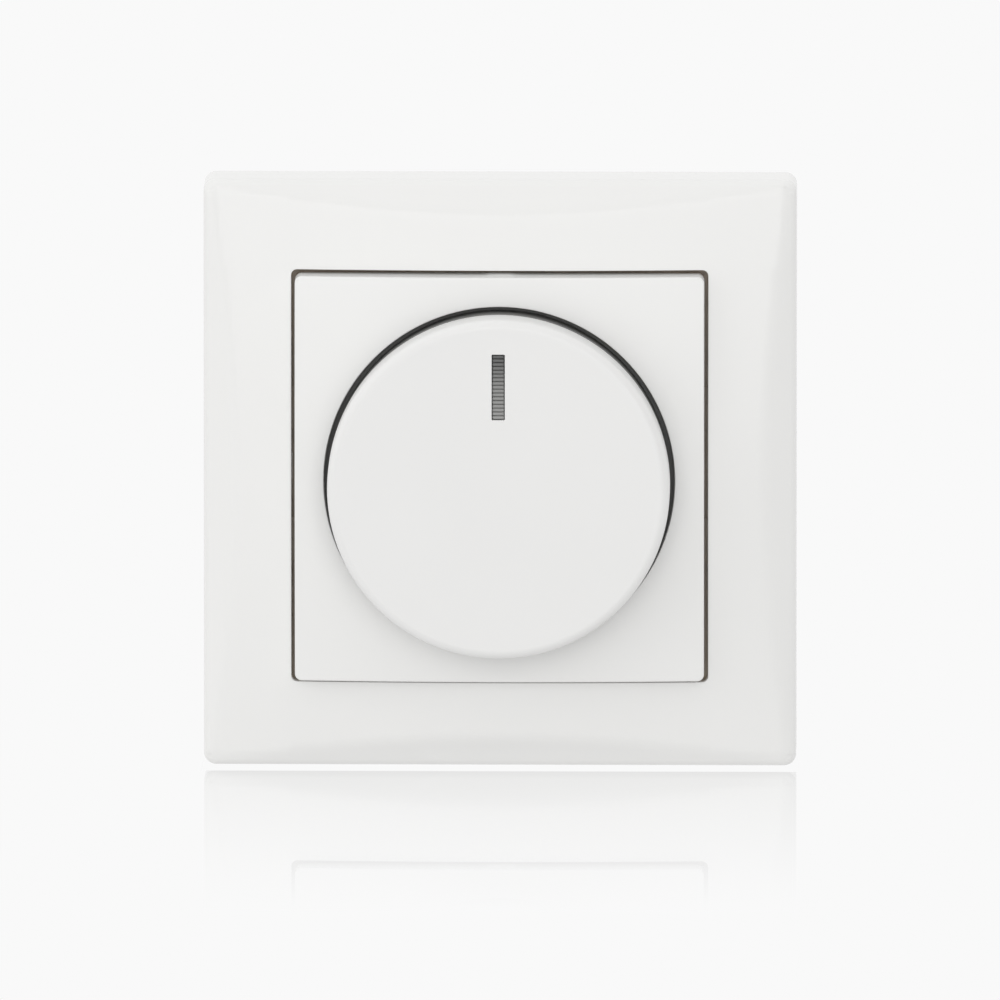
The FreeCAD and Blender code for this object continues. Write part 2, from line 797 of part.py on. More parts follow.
def build_wiper_contact():
    """Sprung finger on the rotor that reaches for the track."""
    half = dim.wiper_width / 2
    return slab("wiper_contact", (-half, half), (track_front + dim.wiper_clearance, rotor_back),
                (-dim.rotor_radius, -drive_bore - dim.control_wall))


def build_switch_housing():
    """Block behind the control with the plunger's guide and the spring's seat."""
    half = dim.switch_width / 2
    block = slab("switch_block", (-half, half), (switch_back, control_back), (-half, half))
    guide = rod("switch_guide", dim.plunger_radius + dim.plunger_run_clearance,
                spring_seat, control_back)
    bore = rod("switch_bore", dim.plunger_stem_radius + dim.plunger_run_clearance,
               switch_back, spring_seat)
    return cut("switch_housing", block, [guide, bore])


def build_switch_plunger():
    """Plunger that the shaft pushes back against the spring."""
    tail = plunger_shoulder - dim.plunger_stem_length
    return turned("switch_plunger", [
        (0, plunger_front), (dim.plunger_radius, plunger_front),
        (dim.plunger_radius, plunger_shoulder), (dim.plunger_stem_radius, plunger_shoulder),
        (dim.plunger_stem_radius, tail), (0, tail)])


def build_return_spring():
    """Coil spring of square wire between the plunger's head and the switch housing."""
    lift = dim.spring_wire_radius + dim.spring_end_gap
    length = dim.spring_room - lift * 2
    helix = doc.addObject("Part::Helix", "spring_line")
    bind(helix, Radius=dim.spring_radius, Height=length, Pitch=length / dim.spring_turns)
    place(helix, depth=spring_seat + lift, turn=FORWARD)
    section = doc.addObject("Part::RegularPolygon", "spring_section")
    section.Polygon = 4
    bind(section, Circumradius=dim.spring_wire_radius)
    place(section, dim.spring_radius, spring_seat + lift, 0, UPRIGHT)
    coil = doc.addObject("Part::Sweep", "return_spring")
    coil.Sections = [section]
    doc.recompute()
    coil.Spine = (helix, [f"Edge{number + 1}" for number in range(len(helix.Shape.Edges))])
    coil.Solid = True
    coil.Frenet = True
    return coil


def build_support_plate():
    """Steel mounting ring: fixing slots, folded rims, claw lugs and windows for the snap legs."""
    sheet_metal = padded("support_sheet", octagon(support_half, support_half, dim.support_chamfer),
                         as_size(0), dim.support_thickness)
    through = (as_size(-TOOL_OVERRUN / 2), dim.support_thickness + TOOL_OVERRUN)
    window_half = dim.lid_platform_width / 2 + dim.lid_fit
    tools = [slab("support_opening", (-window_half, window_half), through, (-window_half, window_half))]
    for number, (x, z) in enumerate(at_each(post_side, post_up), start=1):
        tools.append(rod(f"support_screw_hole_{number}", screw_bore, through[0], through[1], x, z))
    half_leg = dim.leg_width / 2 + dim.leg_clearance
    window = (leg_inner - dim.leg_clearance, leg_outer + dim.leg_clearance)
    for number, (x, z) in enumerate(at_each(dim.leg_offset_side, 1), start=1):
        span = window if z.number > 0 else (-window[1], -window[0])
        tools.append(slab(f"support_leg_window_{number}", (x - half_leg, x + half_leg), through, span))
    half_slot = dim.fixing_slot_width / 2
    run = dim.fixing_slot_length / 2 - half_slot
    half_spacing = support_half - dim.fixing_margin
    middle = as_size(0)
    places = ((half_spacing, middle, "right"), (-half_spacing, middle, "left"),
              (middle, half_spacing, "top"), (middle, -half_spacing, "bottom"))
    for x, z, tag in places:
        level = z is middle
        wide, tall = (run, half_slot) if level else (half_slot, run)
        shift_x, shift_z = (run, middle) if level else (middle, run)
        tools.append(slab(f"slot_{tag}", (x - wide, x + wide), through, (z - tall, z + tall)))
        for end, way in (("near", -1), ("far", 1)):
            tools.append(rod(f"slot_{tag}_{end}", half_slot, through[0], through[1],
                             x + way * shift_x, z + way * shift_z))
    for side, tag in ((1, "right"), (-1, "left")):
        tools.append(rod(f"claw_screw_hole_{tag}", dim.claw_screw_radius + dim.run_clearance,
                         through[0], through[1], side * claw_screw_side))
    pierced = cut("support_pierced", sheet_metal, tools)
    extras = []
    rim_in = support_half - dim.support_rim_thickness
    half_rim = dim.support_rim_length / 2
    rim_depth = (as_size(0), dim.support_thickness + dim.support_rim_height)
    lug_low = dim.claw_width / 2 + dim.lug_clearance
    lug_high = lug_low + dim.lug_thickness
    pin_bore = dim.claw_pin_radius + dim.run_clearance
    lug_half = pin_bore + dim.lug_margin
    lug_depth = (-dim.claw_pivot_depth - lug_half, dim.support_thickness)
    holes = []
    for side, tag in ((1, "right"), (-1, "left")):
        rim_span = (rim_in, support_half) if side > 0 else (-support_half, -rim_in)
        extras.append(slab(f"support_rim_{tag}", rim_span, rim_depth, (-half_rim, half_rim)))
        extras.append(slab(f"support_rim_end_{tag}", (-half_rim, half_rim), rim_depth, rim_span))
        pivot = side * claw_pivot
        for lug_span, level in (((lug_low, lug_high), "high"), ((-lug_high, -lug_low), "low")):
            extras.append(slab(f"lug_{tag}_{level}", (pivot - lug_half, pivot + lug_half),
                               lug_depth, lug_span))
        holes.append(upright_rod(f"lug_hole_{tag}", pin_bore, -lug_high, lug_high,
                                 pivot, -dim.claw_pivot_depth))
    return cut("support_plate", fuse("support_folded", [pierced] + extras), holes)


def build_module_lid():
    """Front cover of the module with a raised platform for the control."""
    flange = padded("lid_flange_plate", octagon(module_half_x, module_half_z, dim.module_chamfer),
                    -dim.lid_flange, as_size(0))
    half = dim.lid_platform_width / 2
    platform = rounded_block("lid_platform", half, dim.lid_wall, -dim.lid_flange,
                             dim.lid_platform_front)
    room = rounded_block("lid_room", half - dim.lid_wall, dim.lid_wall, -dim.lid_flange, lid_inside)
    tools = [room, rod("lid_bore", dim.bushing_radius + dim.lid_fit / 3, lid_inside,
                       dim.lid_platform_front)]
    for number, (x, z) in enumerate(at_each(post_side, post_up), start=1):
        tools.append(rod(f"lid_screw_hole_{number}", screw_bore, -dim.lid_flange, as_size(0), x, z))
    return cut("module_lid", fuse("lid_solid", [flange, platform]), tools)


def build_module_housing():
    """Rear box with screw posts, board ledges, terminal openings and vents."""
    front = -dim.lid_flange
    back = -dim.module_back
    block = padded("housing_block", octagon(module_half_x, module_half_z, dim.module_chamfer),
                   back, front)
    inner_x = module_half_x - dim.module_wall
    inner_z = module_half_z - dim.module_wall
    room = padded("housing_room", octagon(inner_x, inner_z, dim.module_chamfer),
                  module_floor, front)
    hollow = cut("housing_hollow", block, [room])
    extras = []
    for number, (x, z) in enumerate(at_each(post_side, post_up), start=1):
        extras.append(rod(f"housing_post_{number}", dim.post_radius, module_floor, front, x, z))
    half_ledge = dim.ledge_length / 2
    for side, tag in ((1, "right"), (-1, "left")):
        inner = inner_x - dim.module_wall
        outer = inner_x + dim.module_wall / 2
        span = (inner, outer) if side > 0 else (-outer, -inner)
        extras.append(slab(f"housing_ledge_{tag}", span, (module_floor, board_back),
                           (-half_ledge, half_ledge)))
    solid = common("housing_solid", [fuse("housing_ribbed", [hollow] + extras), block])
    tools = []
    for number, (x, z) in enumerate(at_each(post_side, post_up), start=1):
        tools.append(rod(f"housing_screw_hole_{number}", screw_bore,
                         dim.support_thickness - dim.screw_length - dim.press_clearance, front, x, z))
    access = dim.terminal_head_radius + dim.access_hole_clearance
    for index in (-1, 0, 1):
        x = index * terminal_pitch
        tools.append(rod(f"housing_access_{index + 2}", access, back, module_floor,
                         x, -dim.terminal_down))
        tools.append(upright_rod(f"housing_wire_hole_{index + 2}", dim.wire_hole_radius,
                                 -module_half_z, -inner_z, x, -dim.wire_hole_depth))
        half_vent = dim.vent_width / 2
        middle = index * dim.vent_pitch
        vent_depth = (module_floor + dim.module_wall, module_floor + dim.module_wall + dim.vent_length)
        tools.append(slab(f"housing_vent_{index + 2}", (middle - half_vent, middle + half_vent),
                          vent_depth, (inner_z, module_half_z)))
    return cut("module_housing", solid, tools)


def build_module_screws():
    """Four screws through the ring and the lid into the housing's posts."""
    screws = []
    for number, (x, z) in enumerate(at_each(post_side, post_up), start=1):
        screws.append(slotted_screw(
            f"module_screw_{number}", dim.screw_radius, dim.screw_head_radius, dim.screw_head_height,
            dim.support_thickness, dim.support_thickness - dim.screw_length, x, z))
    return group("module_screws", screws)


def build_circuit_board():
    """Board with its corners cut to clear the screw posts."""
    half_x = module_half_x - dim.module_wall - dim.board_clearance
    half_z = module_half_z - dim.module_wall - dim.board_clearance
    return padded("circuit_board", octagon(half_x, half_z, dim.board_chamfer), board_back, board_front)


def build_triac():
    """Power semiconductor lying on the board, with its metal tab."""
    half = dim.triac_width / 2
    across = (dim.triac_middle_up - half, dim.triac_middle_up + half)
    body = slab("triac_body", (-dim.triac_split, dim.triac_body_length - dim.triac_split),
                (board_front, board_front + dim.triac_height), across)
    tab_end = -dim.triac_split - dim.triac_tab_length
    tab_front = board_front + dim.triac_tab_height
    tab = slab("triac_tab", (tab_end, as_size(0)), (board_front, tab_front), across)
    eye = rod("triac_eye", dim.triac_tab_height, board_front, tab_front,
              tab_end + dim.triac_tab_length / 2, dim.triac_middle_up)
    return cut("triac", fuse("triac_solid", [body, tab]), [eye])


choke_depth = board_front + dim.choke_radius + dim.choke_wire + dim.choke_fit
choke_right = module_half_x - dim.module_wall - dim.choke_gap
choke_left = choke_right - dim.choke_width


def build_choke_core():
    """Ring core standing on the board."""
    ring = cross_rod("choke_ring", dim.choke_radius, choke_left, choke_right, choke_depth, 0)
    bore = cross_rod("choke_ring_bore", dim.choke_bore, choke_left, choke_right, choke_depth, 0)
    return cut("choke_core", ring, [bore])


def build_choke_winding():
    """Closely wound wire round the ring core, grooved between its turns."""
    skin = dim.choke_wire + dim.choke_fit
    outer = cross_rod("winding_outside", dim.choke_radius + skin, choke_left - skin,
                      choke_right + skin, choke_depth, 0)
    inner = cross_rod("winding_inside", dim.choke_bore - skin, choke_left - skin,
                      choke_right + skin, choke_depth, 0)
    seat = cross_rod("winding_seat", dim.choke_radius + dim.choke_fit, choke_left - dim.choke_fit,
                     choke_right + dim.choke_fit, choke_depth, 0)
    island = cross_rod("winding_island", dim.choke_bore - dim.choke_fit, choke_left - dim.choke_fit,
                       choke_right + dim.choke_fit, choke_depth, 0)
    return cut("choke_winding", outer, [inner, cut("winding_room", seat, [island])])


def build_film_capacitor():
    """Box capacitor on the board."""
    outer = module_half_x - dim.module_wall - dim.capacitor_gap
    half_z = dim.capacitor_length / 2
    return slab("film_capacitor", (-outer, dim.capacitor_width - outer),
                (board_front, board_front + dim.capacitor_height), (-half_z, half_z))


fuse_depth = board_front + dim.fuse_radius + dim.fuse_lift
fuse_half = dim.fuse_length / 2


def build_fuse_tube():
    """Glass tube of the fuse."""
    end = fuse_half - dim.fuse_cap_length
    return cross_rod("fuse_tube", dim.fuse_tube_radius, -end, end, fuse_depth, -dim.fuse_down)


def build_fuse_caps():
    """Metal end caps of the fuse."""
    near = fuse_half - dim.fuse_cap_length
    right = cross_rod("fuse_cap_right", dim.fuse_radius, near, fuse_half, fuse_depth, -dim.fuse_down)
    left = cross_rod("fuse_cap_left", dim.fuse_radius, -fuse_half, -near, fuse_depth, -dim.fuse_down)
    return group("fuse_caps", [right, left])


def build_fuse_clips():
    """Two sprung clips that hold the fuse's caps on the board."""
    bore = dim.fuse_radius + dim.fuse_clip_fit
    half = bore + dim.fuse_clip_wall
    margin = dim.fuse_clip_wall
    clips = []
    for side, tag in ((1, "right"), (-1, "left")):
        near = fuse_half - dim.fuse_cap_length + margin
        far = fuse_half - margin
        span = (near, far) if side > 0 else (-far, -near)
        block = slab(f"clip_block_{tag}", span, (board_front, fuse_depth + dim.fuse_radius / 2),
                     (-dim.fuse_down - half, half - dim.fuse_down))
        seat = cross_rod(f"clip_seat_{tag}", bore, span[0], span[1], fuse_depth, -dim.fuse_down)
        mouth = slab(f"clip_mouth_{tag}", span, (fuse_depth, fuse_depth + dim.fuse_radius),
                     (-dim.fuse_down - bore, bore - dim.fuse_down))
        clips.append(cut(f"fuse_clip_{tag}", block, [seat, mouth]))
    return group("fuse_clips", clips)


def build_terminal_clamps():
    """Three clamp cages behind the board."""
    half = dim.terminal_width / 2
    clamps = []
    for index in (-1, 0, 1):
        x = index * terminal_pitch
        middle = -dim.terminal_down
        block = slab(f"clamp_block_{index + 2}", (x - half, x + half), (clamp_back, board_back),
                     (middle - half, middle + half))
        wire = upright_rod(f"clamp_wire_{index + 2}", dim.wire_hole_radius, middle - half,
                           middle + half, x, -dim.wire_hole_depth)
        thread = rod(f"clamp_thread_{index + 2}", dim.terminal_screw_radius + dim.terminal_fit,
                     clamp_back, -dim.wire_hole_depth, x, middle)
        clamps.append(cut(f"terminal_clamp_{index + 2}", block, [wire, thread]))
    return group("terminal_clamps", clamps)


def build_terminal_screws():
    """Three terminal screws whose heads face the rear."""
    head_back = clamp_back - dim.terminal_head_height
    half_slot = dim.screw_slot_width / 2
    screws = []
    for index in (-1, 0, 1):
        x = index * terminal_pitch
        z = -dim.terminal_down
        tag = index + 2
        head = rod(f"terminal_head_{tag}", dim.terminal_head_radius, head_back, clamp_back, x, z)
        shank = rod(f"terminal_shank_{tag}", dim.terminal_screw_radius, clamp_back,
                    clamp_back + dim.terminal_shank_length, x, z)
        slot = slab(f"terminal_slot_{tag}", (x - dim.terminal_head_radius, x + dim.terminal_head_radius),
                    (head_back, head_back + dim.screw_slot_depth), (z - half_slot, z + half_slot))
        screws.append(cut(f"terminal_screw_{tag}", fuse(f"terminal_blank_{tag}", [head, shank]), [slot]))
    return group("terminal_screws", screws)


def build_claw_right():
    """Bent steel claw: tab across its screw, leg along the module and toothed end."""
    body = doc.addObject("PartDesign::Body", "claw_strip")
    half_sheet = dim.claw_thickness / 2
    tab_front = dim.claw_pivot_depth - half_sheet
    tab_back = dim.claw_pivot_depth + half_sheet
    inner = claw_pivot - dim.claw_tab_inner
    leg_inside = claw_leg - dim.claw_thickness
    tooth_tip = claw_leg + dim.claw_tooth
    bend = dim.claw_back - dim.claw_thickness
    profile = outline_sketch(body, "claw_profile", "XY_Plane", [
        (inner, tab_front), (claw_leg, tab_front), (claw_leg, bend),
        (tooth_tip, bend), (tooth_tip, dim.claw_back), (leg_inside, dim.claw_back),
        (leg_inside, tab_back), (inner, tab_back)])
    feature = body.newObject("PartDesign::Pad", "claw_pad")
    feature.Profile = profile
    feature.SideType = "Symmetric"
    bind(feature, Length=dim.claw_width)
    body.Tip = feature
    half_width = dim.claw_width / 2
    pin = upright_rod("claw_pin", dim.claw_pin_radius, -half_width - dim.claw_pin_length,
                      half_width + dim.claw_pin_length, claw_pivot, -dim.claw_pivot_depth)
    half_slot = dim.claw_screw_radius + dim.claw_slot_fit
    slot = slab("claw_slot", (claw_pivot + dim.claw_slot_start, leg_inside),
                (-tab_back - dim.claw_thickness, -tab_front + dim.claw_thickness),
                (-half_slot, half_slot))
    half_notch = dim.claw_notch / 2
    notch = slab("claw_notch_tool", (leg_inside, tooth_tip + dim.claw_tooth),
                 (-dim.claw_back, -bend + dim.claw_thickness), (-half_notch, half_notch))
    return cut("claw_right", fuse("claw_blank", [body, pin]), [slot, notch])


def build_claw_screw(name, side):
    """Screw that draws a claw, its head on the mounting ring."""
    return slotted_screw(name, dim.claw_screw_radius, dim.claw_screw_head_radius,
                         dim.claw_screw_head_height, dim.support_thickness,
                         -dim.claw_screw_back, side * claw_screw_side, as_size(0))


def build_all():
    """Every sub-part under its own name."""
    parts = {
        "cover_frame": build_cover_frame(),
        "centre_plate": build_centre_plate(),
        "knob_cap": build_knob_cap(),
        "knob_core": build_knob_core(),
        "indicator_window": build_indicator_window(),
        "hub_clip": build_hub_clip(),
        "shaft": build_shaft(),
        "threaded_bushing": build_threaded_bushing(),
        "bushing_nut": build_bushing_nut(),
        "lock_washer": build_lock_washer(),
        "control_housing": build_control_housing(),
        "resistor_track": build_resistor_track(),
        "wiper_rotor": build_wiper_rotor(),
        "wiper_contact": build_wiper_contact(),
        "switch_housing": build_switch_housing(),
        "switch_plunger": build_switch_plunger(),
        "return_spring": build_return_spring(),
        "support_plate": build_support_plate(),
        "module_lid": build_module_lid(),
        "module_housing": build_module_housing(),
        "module_screws": build_module_screws(),
        "circuit_board": build_circuit_board(),
        "triac": build_triac(),
        "choke_core": build_choke_core(),
        "choke_winding": build_choke_winding(),
        "film_capacitor": build_film_capacitor(),
        "fuse_tube": build_fuse_tube(),
        "fuse_caps": build_fuse_caps(),
        "fuse_clips": build_fuse_clips(),
        "terminal_clamps": build_terminal_clamps(),
        "terminal_screws": build_terminal_screws(),
        "claw_right": build_claw_right(),
        "claw_screw_right": build_claw_screw("claw_screw_right", 1),
        "claw_screw_left": build_claw_screw("claw_screw_left", -1),
    }
    parts["claw_left"] = mirrored("claw_left", parts["claw_right"])
    return parts


def check_and_write(parts):
    """Stop on any failed object, then write one file for each sub-part."""
    doc.recompute()
    for item in doc.Objects:
        if "Invalid" in item.State or "Error" in item.State:
            raise RuntimeError(f"{item.Name} failed: {item.State}")
    os.makedirs("parts", exist_ok=True)
    for name, item in parts.items():
        item.Label = name
        if item.Shape.isNull() or not item.Shape.isValid():
            raise RuntimeError(f"{name} has no valid shape")
    for name, item in parts.items():
        item.Shape.exportStep(f"parts/{name}.step")
        print(f"{name}: {len(item.Shape.Solids)} solids, {item.Shape.Volume:.1f} cubic mm")


check_and_write(build_all())
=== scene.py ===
"""Dressed model of a flush-mounted rotary dimmer switch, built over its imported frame.

Pieces are shaped on a bench in millimetres: x to the right, y into the wall, z up, and depth counted
forward from the wall. A finished piece is brought to metres when it is settled on its body.
"""

import json
import logging
import math
from collections import defaultdict
from contextlib import contextmanager
from dataclasses import dataclass
from enum import Enum
from typing import Callable, Iterator, Sequence

import bmesh
import bpy
from mathutils import Matrix, Vector

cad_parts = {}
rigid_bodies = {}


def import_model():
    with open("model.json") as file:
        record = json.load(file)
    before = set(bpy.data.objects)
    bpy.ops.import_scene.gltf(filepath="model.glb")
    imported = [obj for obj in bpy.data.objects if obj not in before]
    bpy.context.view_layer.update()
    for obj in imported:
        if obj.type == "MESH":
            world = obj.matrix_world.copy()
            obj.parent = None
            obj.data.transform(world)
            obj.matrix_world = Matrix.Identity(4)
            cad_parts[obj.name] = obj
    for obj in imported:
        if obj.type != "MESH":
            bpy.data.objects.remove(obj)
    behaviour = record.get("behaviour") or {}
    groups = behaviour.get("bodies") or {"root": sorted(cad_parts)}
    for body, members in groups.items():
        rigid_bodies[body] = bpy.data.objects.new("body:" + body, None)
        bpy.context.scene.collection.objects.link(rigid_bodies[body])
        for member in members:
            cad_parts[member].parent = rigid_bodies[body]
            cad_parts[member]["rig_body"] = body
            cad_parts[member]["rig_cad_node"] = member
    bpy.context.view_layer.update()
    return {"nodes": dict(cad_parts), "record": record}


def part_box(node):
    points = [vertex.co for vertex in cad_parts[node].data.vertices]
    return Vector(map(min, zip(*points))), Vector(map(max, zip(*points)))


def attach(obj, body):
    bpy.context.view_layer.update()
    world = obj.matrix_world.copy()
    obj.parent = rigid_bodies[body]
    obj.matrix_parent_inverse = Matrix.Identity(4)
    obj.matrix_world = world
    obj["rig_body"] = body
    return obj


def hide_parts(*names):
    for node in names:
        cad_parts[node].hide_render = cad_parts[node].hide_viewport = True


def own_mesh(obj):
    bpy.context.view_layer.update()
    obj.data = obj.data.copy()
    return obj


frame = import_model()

Piece = bpy.types.Object
Socket = bpy.types.NodeSocket
Triple = tuple[float, float, float]
Span = tuple[float, float]
Round = tuple[float, int]  # width of a rounded edge and the steps in it

MM = 0.001
FACING_FRONT = (math.pi / 2, 0.0, 0.0)
QUARTER_TURN = math.pi / 2
WHITE = (1.0, 1.0, 1.0, 1.0)
NEAR = 0.01  # how far off a line or plane a point may lie and still count as on it
SAME_POINT = 0.0005  # points of a new piece that are closer than this are one
SAME_CAD_POINT = 0.002  # the same for a copied solid
FLAT_WITHIN = math.radians(1.0)  # faces of a copied solid that meet at less are one
CREASE = 0.6  # angle between two faces, in radians, from which their edge is a crease
SLIGHT_CREASE = 0.5
FACES_BACK = 0.9  # least share of a face's normal along y
OVERSHOOT = 1.0  # how far a cutter sticks out of the piece that it cuts

log = logging.getLogger("dimmer")


class Pick(Enum):
    """What an edit-mode selection is made of."""

    POINTS = "VERT"
    EDGES = "EDGE"
    FACES = "FACE"


class Metal(Enum):
    """How the surface of a metal piece was left, as the scale of its lines along each axis."""

    PLATED = (1.0, 1.0, 1.0)
    BRUSHED = (0.06, 1.0, 1.0)
    TURNED = (0.1, 1.0, 0.1)


def clear_selection() -> None:
    """Deselects every object, so that the next operator acts on one piece."""
    if bpy.context.mode != "OBJECT":
        bpy.ops.object.mode_set(mode="OBJECT")
    bpy.ops.object.select_all(action="DESELECT")


def make_active(piece: Piece) -> None:
    """Selects one piece alone and makes it the active object.

    Args:
        piece: The piece.
    """
    clear_selection()
    piece.select_set(True)
    bpy.context.view_layer.objects.active = piece


@contextmanager
def editing(piece: Piece) -> Iterator[None]:
    """Keeps one piece in edit mode for the length of a with block.

    Args:
        piece: The object to shape.
    """
    make_active(piece)
    bpy.ops.object.mode_set(mode="EDIT")
    yield
    bpy.ops.object.mode_set(mode="OBJECT")


def pick(piece: Piece, kind: Pick, wanted: Callable[..., bool]) -> int:
    """Selects the points, edges or faces of a piece in edit mode that pass a test.

    Args:
        piece: The object in edit mode.
        kind: What is selected.
        wanted: Says of one point, edge or face whether it is selected.

    Returns:
        How many were selected.
    """
    bpy.ops.mesh.select_mode(type=kind.value)
    bpy.ops.mesh.select_all(action="DESELECT")
    mesh = bmesh.from_edit_mesh(piece.data)
    mesh.normal_update()
    members = {Pick.POINTS: mesh.verts, Pick.EDGES: mesh.edges, Pick.FACES: mesh.faces}[kind]
    chosen = [member for member in members if wanted(member)]
    for member in chosen:
        member.select_set(True)
    bmesh.update_edit_mesh(piece.data)
    return len(chosen)


def is_crease(edge: bmesh.types.BMEdge, least: float = CREASE) -> bool:
    """Whether the two faces at an edge meet at more than an angle in radians."""
    return len(edge.link_faces) == 2 and edge.calc_face_angle(0.0) > least


def pick_edges(piece: Piece, wanted: Callable[[Vector], bool], crease: float | None = None) -> None:
    """Selects the edges of a piece in edit mode whose ends both pass a test.

    Args:
        piece: The object in edit mode.
        wanted: Says of a place whether an end of the edge may lie there.
        crease: Angle in radians that its faces have to pass, where only creases are selected.
    """
    pick(piece, Pick.EDGES, lambda edge: (crease is None or is_crease(edge, crease)) and all(
        wanted(point.co) for point in edge.verts))


def reach(place: Vector) -> float:
    """Larger of a place's distances from the middle, sideways and upwards."""
    return max(abs(place.x), abs(place.z))


def lesser_reach(place: Vector) -> float:
    """Smaller of a place's distances from the middle, sideways and upwards."""
    return min(abs(place.x), abs(place.z))


def depth_of(place: Vector) -> float:
    """How far a place lies in front of the wall."""
    return -place.y


def round_edges(width: float, steps: int) -> None:
    """Bevels the selected edges to a round of a width."""
    bpy.ops.mesh.bevel(offset=width, offset_type="OFFSET", segments=steps, affect="EDGES",
                       profile=0.5, clamp_overlap=False)


def extrude(forward: float) -> None:
    """Extrudes what is selected towards the front."""
    bpy.ops.mesh.extrude_region_move(TRANSFORM_OT_translate={"value": (0.0, -forward, 0.0)})


def outward(piece: Piece) -> None:
    """Merges doubled points of a piece and turns its faces outwards.

    Args:
        piece: The piece.
    """
    with editing(piece):
        bpy.ops.mesh.select_all(action="SELECT")
        bpy.ops.mesh.remove_doubles(threshold=SAME_POINT)
        bpy.ops.mesh.normals_make_consistent(inside=False)


def mend(piece: Piece) -> None:
    """Closes the hairline gaps of a piece and dissolves its edges and faces without any size.

    Args:
        piece: The piece.
    """
    with editing(piece):
        if pick(piece, Pick.EDGES, lambda edge: edge.is_boundary):
            bpy.ops.mesh.edge_face_add()
        bpy.ops.mesh.select_all(action="SELECT")
        bpy.ops.mesh.dissolve_degenerate(threshold=SAME_POINT)


def crown(piece: Piece, depth_at: Callable[[float, float], float]) -> None:
    """Pulls the points of a flat sheet forward, one group of equal depth at a time.

    Args:
        piece: A sheet that lies on the wall's surface.
        depth_at: Gives the depth over a place x, z.
    """
    groups: dict[float, set[int]] = defaultdict(set)
    for point in piece.data.vertices:
        groups[round(depth_at(point.co.x, point.co.z), 3)].add(point.index)
    with editing(piece):
        for depth, members in groups.items():
            pick(piece, Pick.POINTS, lambda point: point.index in members)
            bpy.ops.transform.translate(value=(0.0, -depth, 0.0))


def modified(piece: Piece, kind: str, **settings: object) -> None:
    """Adds a modifier to a piece, sets it up and applies it.

    Args:
        piece: The piece.
        kind: Type of the modifier.
        settings: Its settings.
    """
    make_active(piece)
    bpy.ops.object.modifier_add(type=kind)
    modifier = piece.modifiers[-1]
    for name, value in settings.items():
        setattr(modifier, name, value)
    bpy.ops.object.modifier_apply(modifier=modifier.name)


def carve(piece: Piece, cutters: Sequence[Piece]) -> None:
    """Cuts the shapes of some pieces out of another and removes them.

    Args:
        piece: The piece that stays.
        cutters: The pieces that are cut out of it.
    """
    for cutter in cutters:
        modified(piece, "BOOLEAN", operation="DIFFERENCE", solver="EXACT", object=cutter)
        bpy.data.objects.remove(cutter)


def join(pieces: Sequence[Piece]) -> Piece:
    """Joins pieces into the first of them.

    Args:
        pieces: The pieces, the one that stays first.

    Returns:
        The joined piece.
    """
    make_active(pieces[0])
    for piece in pieces[1:]:
        piece.select_set(True)
    bpy.ops.object.join()
    return pieces[0]


def copy_of(piece: Piece) -> Piece:
    """Copies a piece, with a mesh of its own.

    Args:
        piece: The piece.

    Returns:
        The copy.
    """
    twin = piece.copy()
    twin.data = piece.data.copy()
    bpy.context.collection.objects.link(twin)
    return twin


def applied(piece: Piece) -> Piece:
    """Applies the place, turn and scale of a piece to its mesh.

    Args:
        piece: The piece.

    Returns:
        The same piece.
    """
    make_active(piece)
    bpy.ops.object.transform_apply(location=True, rotation=True, scale=True)
    return piece


def named(name: str) -> Piece:
    """Names the primitive that was just added and applies its place to its mesh.

    Args:
        name: Name of the piece.

    Returns:
        The piece.
    """
    piece = bpy.context.active_object
    piece.name = name
    return applied(piece)


def placed(piece: Piece, x: float = 0.0, z: float = 0.0, turn: float = 0.0) -> Piece:
    """Turns a piece about the knob's axis, moves it and applies both to its mesh.

    Args:
        piece: The piece to place.
        x: Shift to the right.
        z: Shift upwards.
        turn: Angle about the y axis, in radians.

    Returns:
        The same piece.
    """
    piece.rotation_euler = (0.0, turn, 0.0)
    piece.location = (x, 0.0, z)
    return applied(piece)


def set_round(first: Piece, shifts: Sequence[float] = (0.0,), sides: Sequence[int] = range(4)) -> list[Piece]:
    """Copies a piece to the sides of a square and removes it.

    Args:
        first: The piece, in the middle of the right side.
        shifts: Where the copies lie along a side.
        sides: The sides that get them, as quarter turns.

    Returns:
        The copies.
    """
    copies = [placed(placed(copy_of(first), z=shift), turn=side * QUARTER_TURN)
              for side in sides for shift in shifts]
    bpy.data.objects.remove(first)
    return copies


def block(name: str, x: Span, depth: Span, z: Span, edge: Round | None = None) -> Piece:
    """A moulded block.

    Args:
        name: Name of the piece.
        x: From left to right.
        depth: From back to front.
        z: From bottom to top.
        edge: Round on all its edges, if they have one.

    Returns:
        The block.
    """
    clear_selection()
    bpy.ops.mesh.primitive_cube_add(size=1.0, location=(sum(x) / 2, -sum(depth) / 2, sum(z) / 2))
    bpy.context.active_object.scale = (x[1] - x[0], depth[1] - depth[0], z[1] - z[0])
    piece = named(name)
    if edge:
        with editing(piece):
            bpy.ops.mesh.select_all(action="SELECT")
            round_edges(*edge)
    return piece


def barrel(name: str, radius: float, depth: Span, sides: int, edge: Round | None = None,
           x: float = 0.0, z: float = 0.0) -> Piece:
    """A round bar along the knob's axis.

    Args:
        name: Name of the piece.
        radius: Radius of the bar.
        depth: From back to front.
        sides: Sides of its outline.
        edge: Round on the front edge, if it has one.
        x: Middle, sideways.
        z: Middle, upwards.

    Returns:
        The bar.
    """
    clear_selection()
    bpy.ops.mesh.primitive_cylinder_add(vertices=sides, radius=radius, depth=depth[1] - depth[0],
                                        location=(x, -sum(depth) / 2, z), rotation=FACING_FRONT)
    piece = named(name)
    if edge:
        with editing(piece):
            pick_edges(piece, lambda place: depth_of(place) > depth[1] - NEAR)
            round_edges(*edge)
    return piece


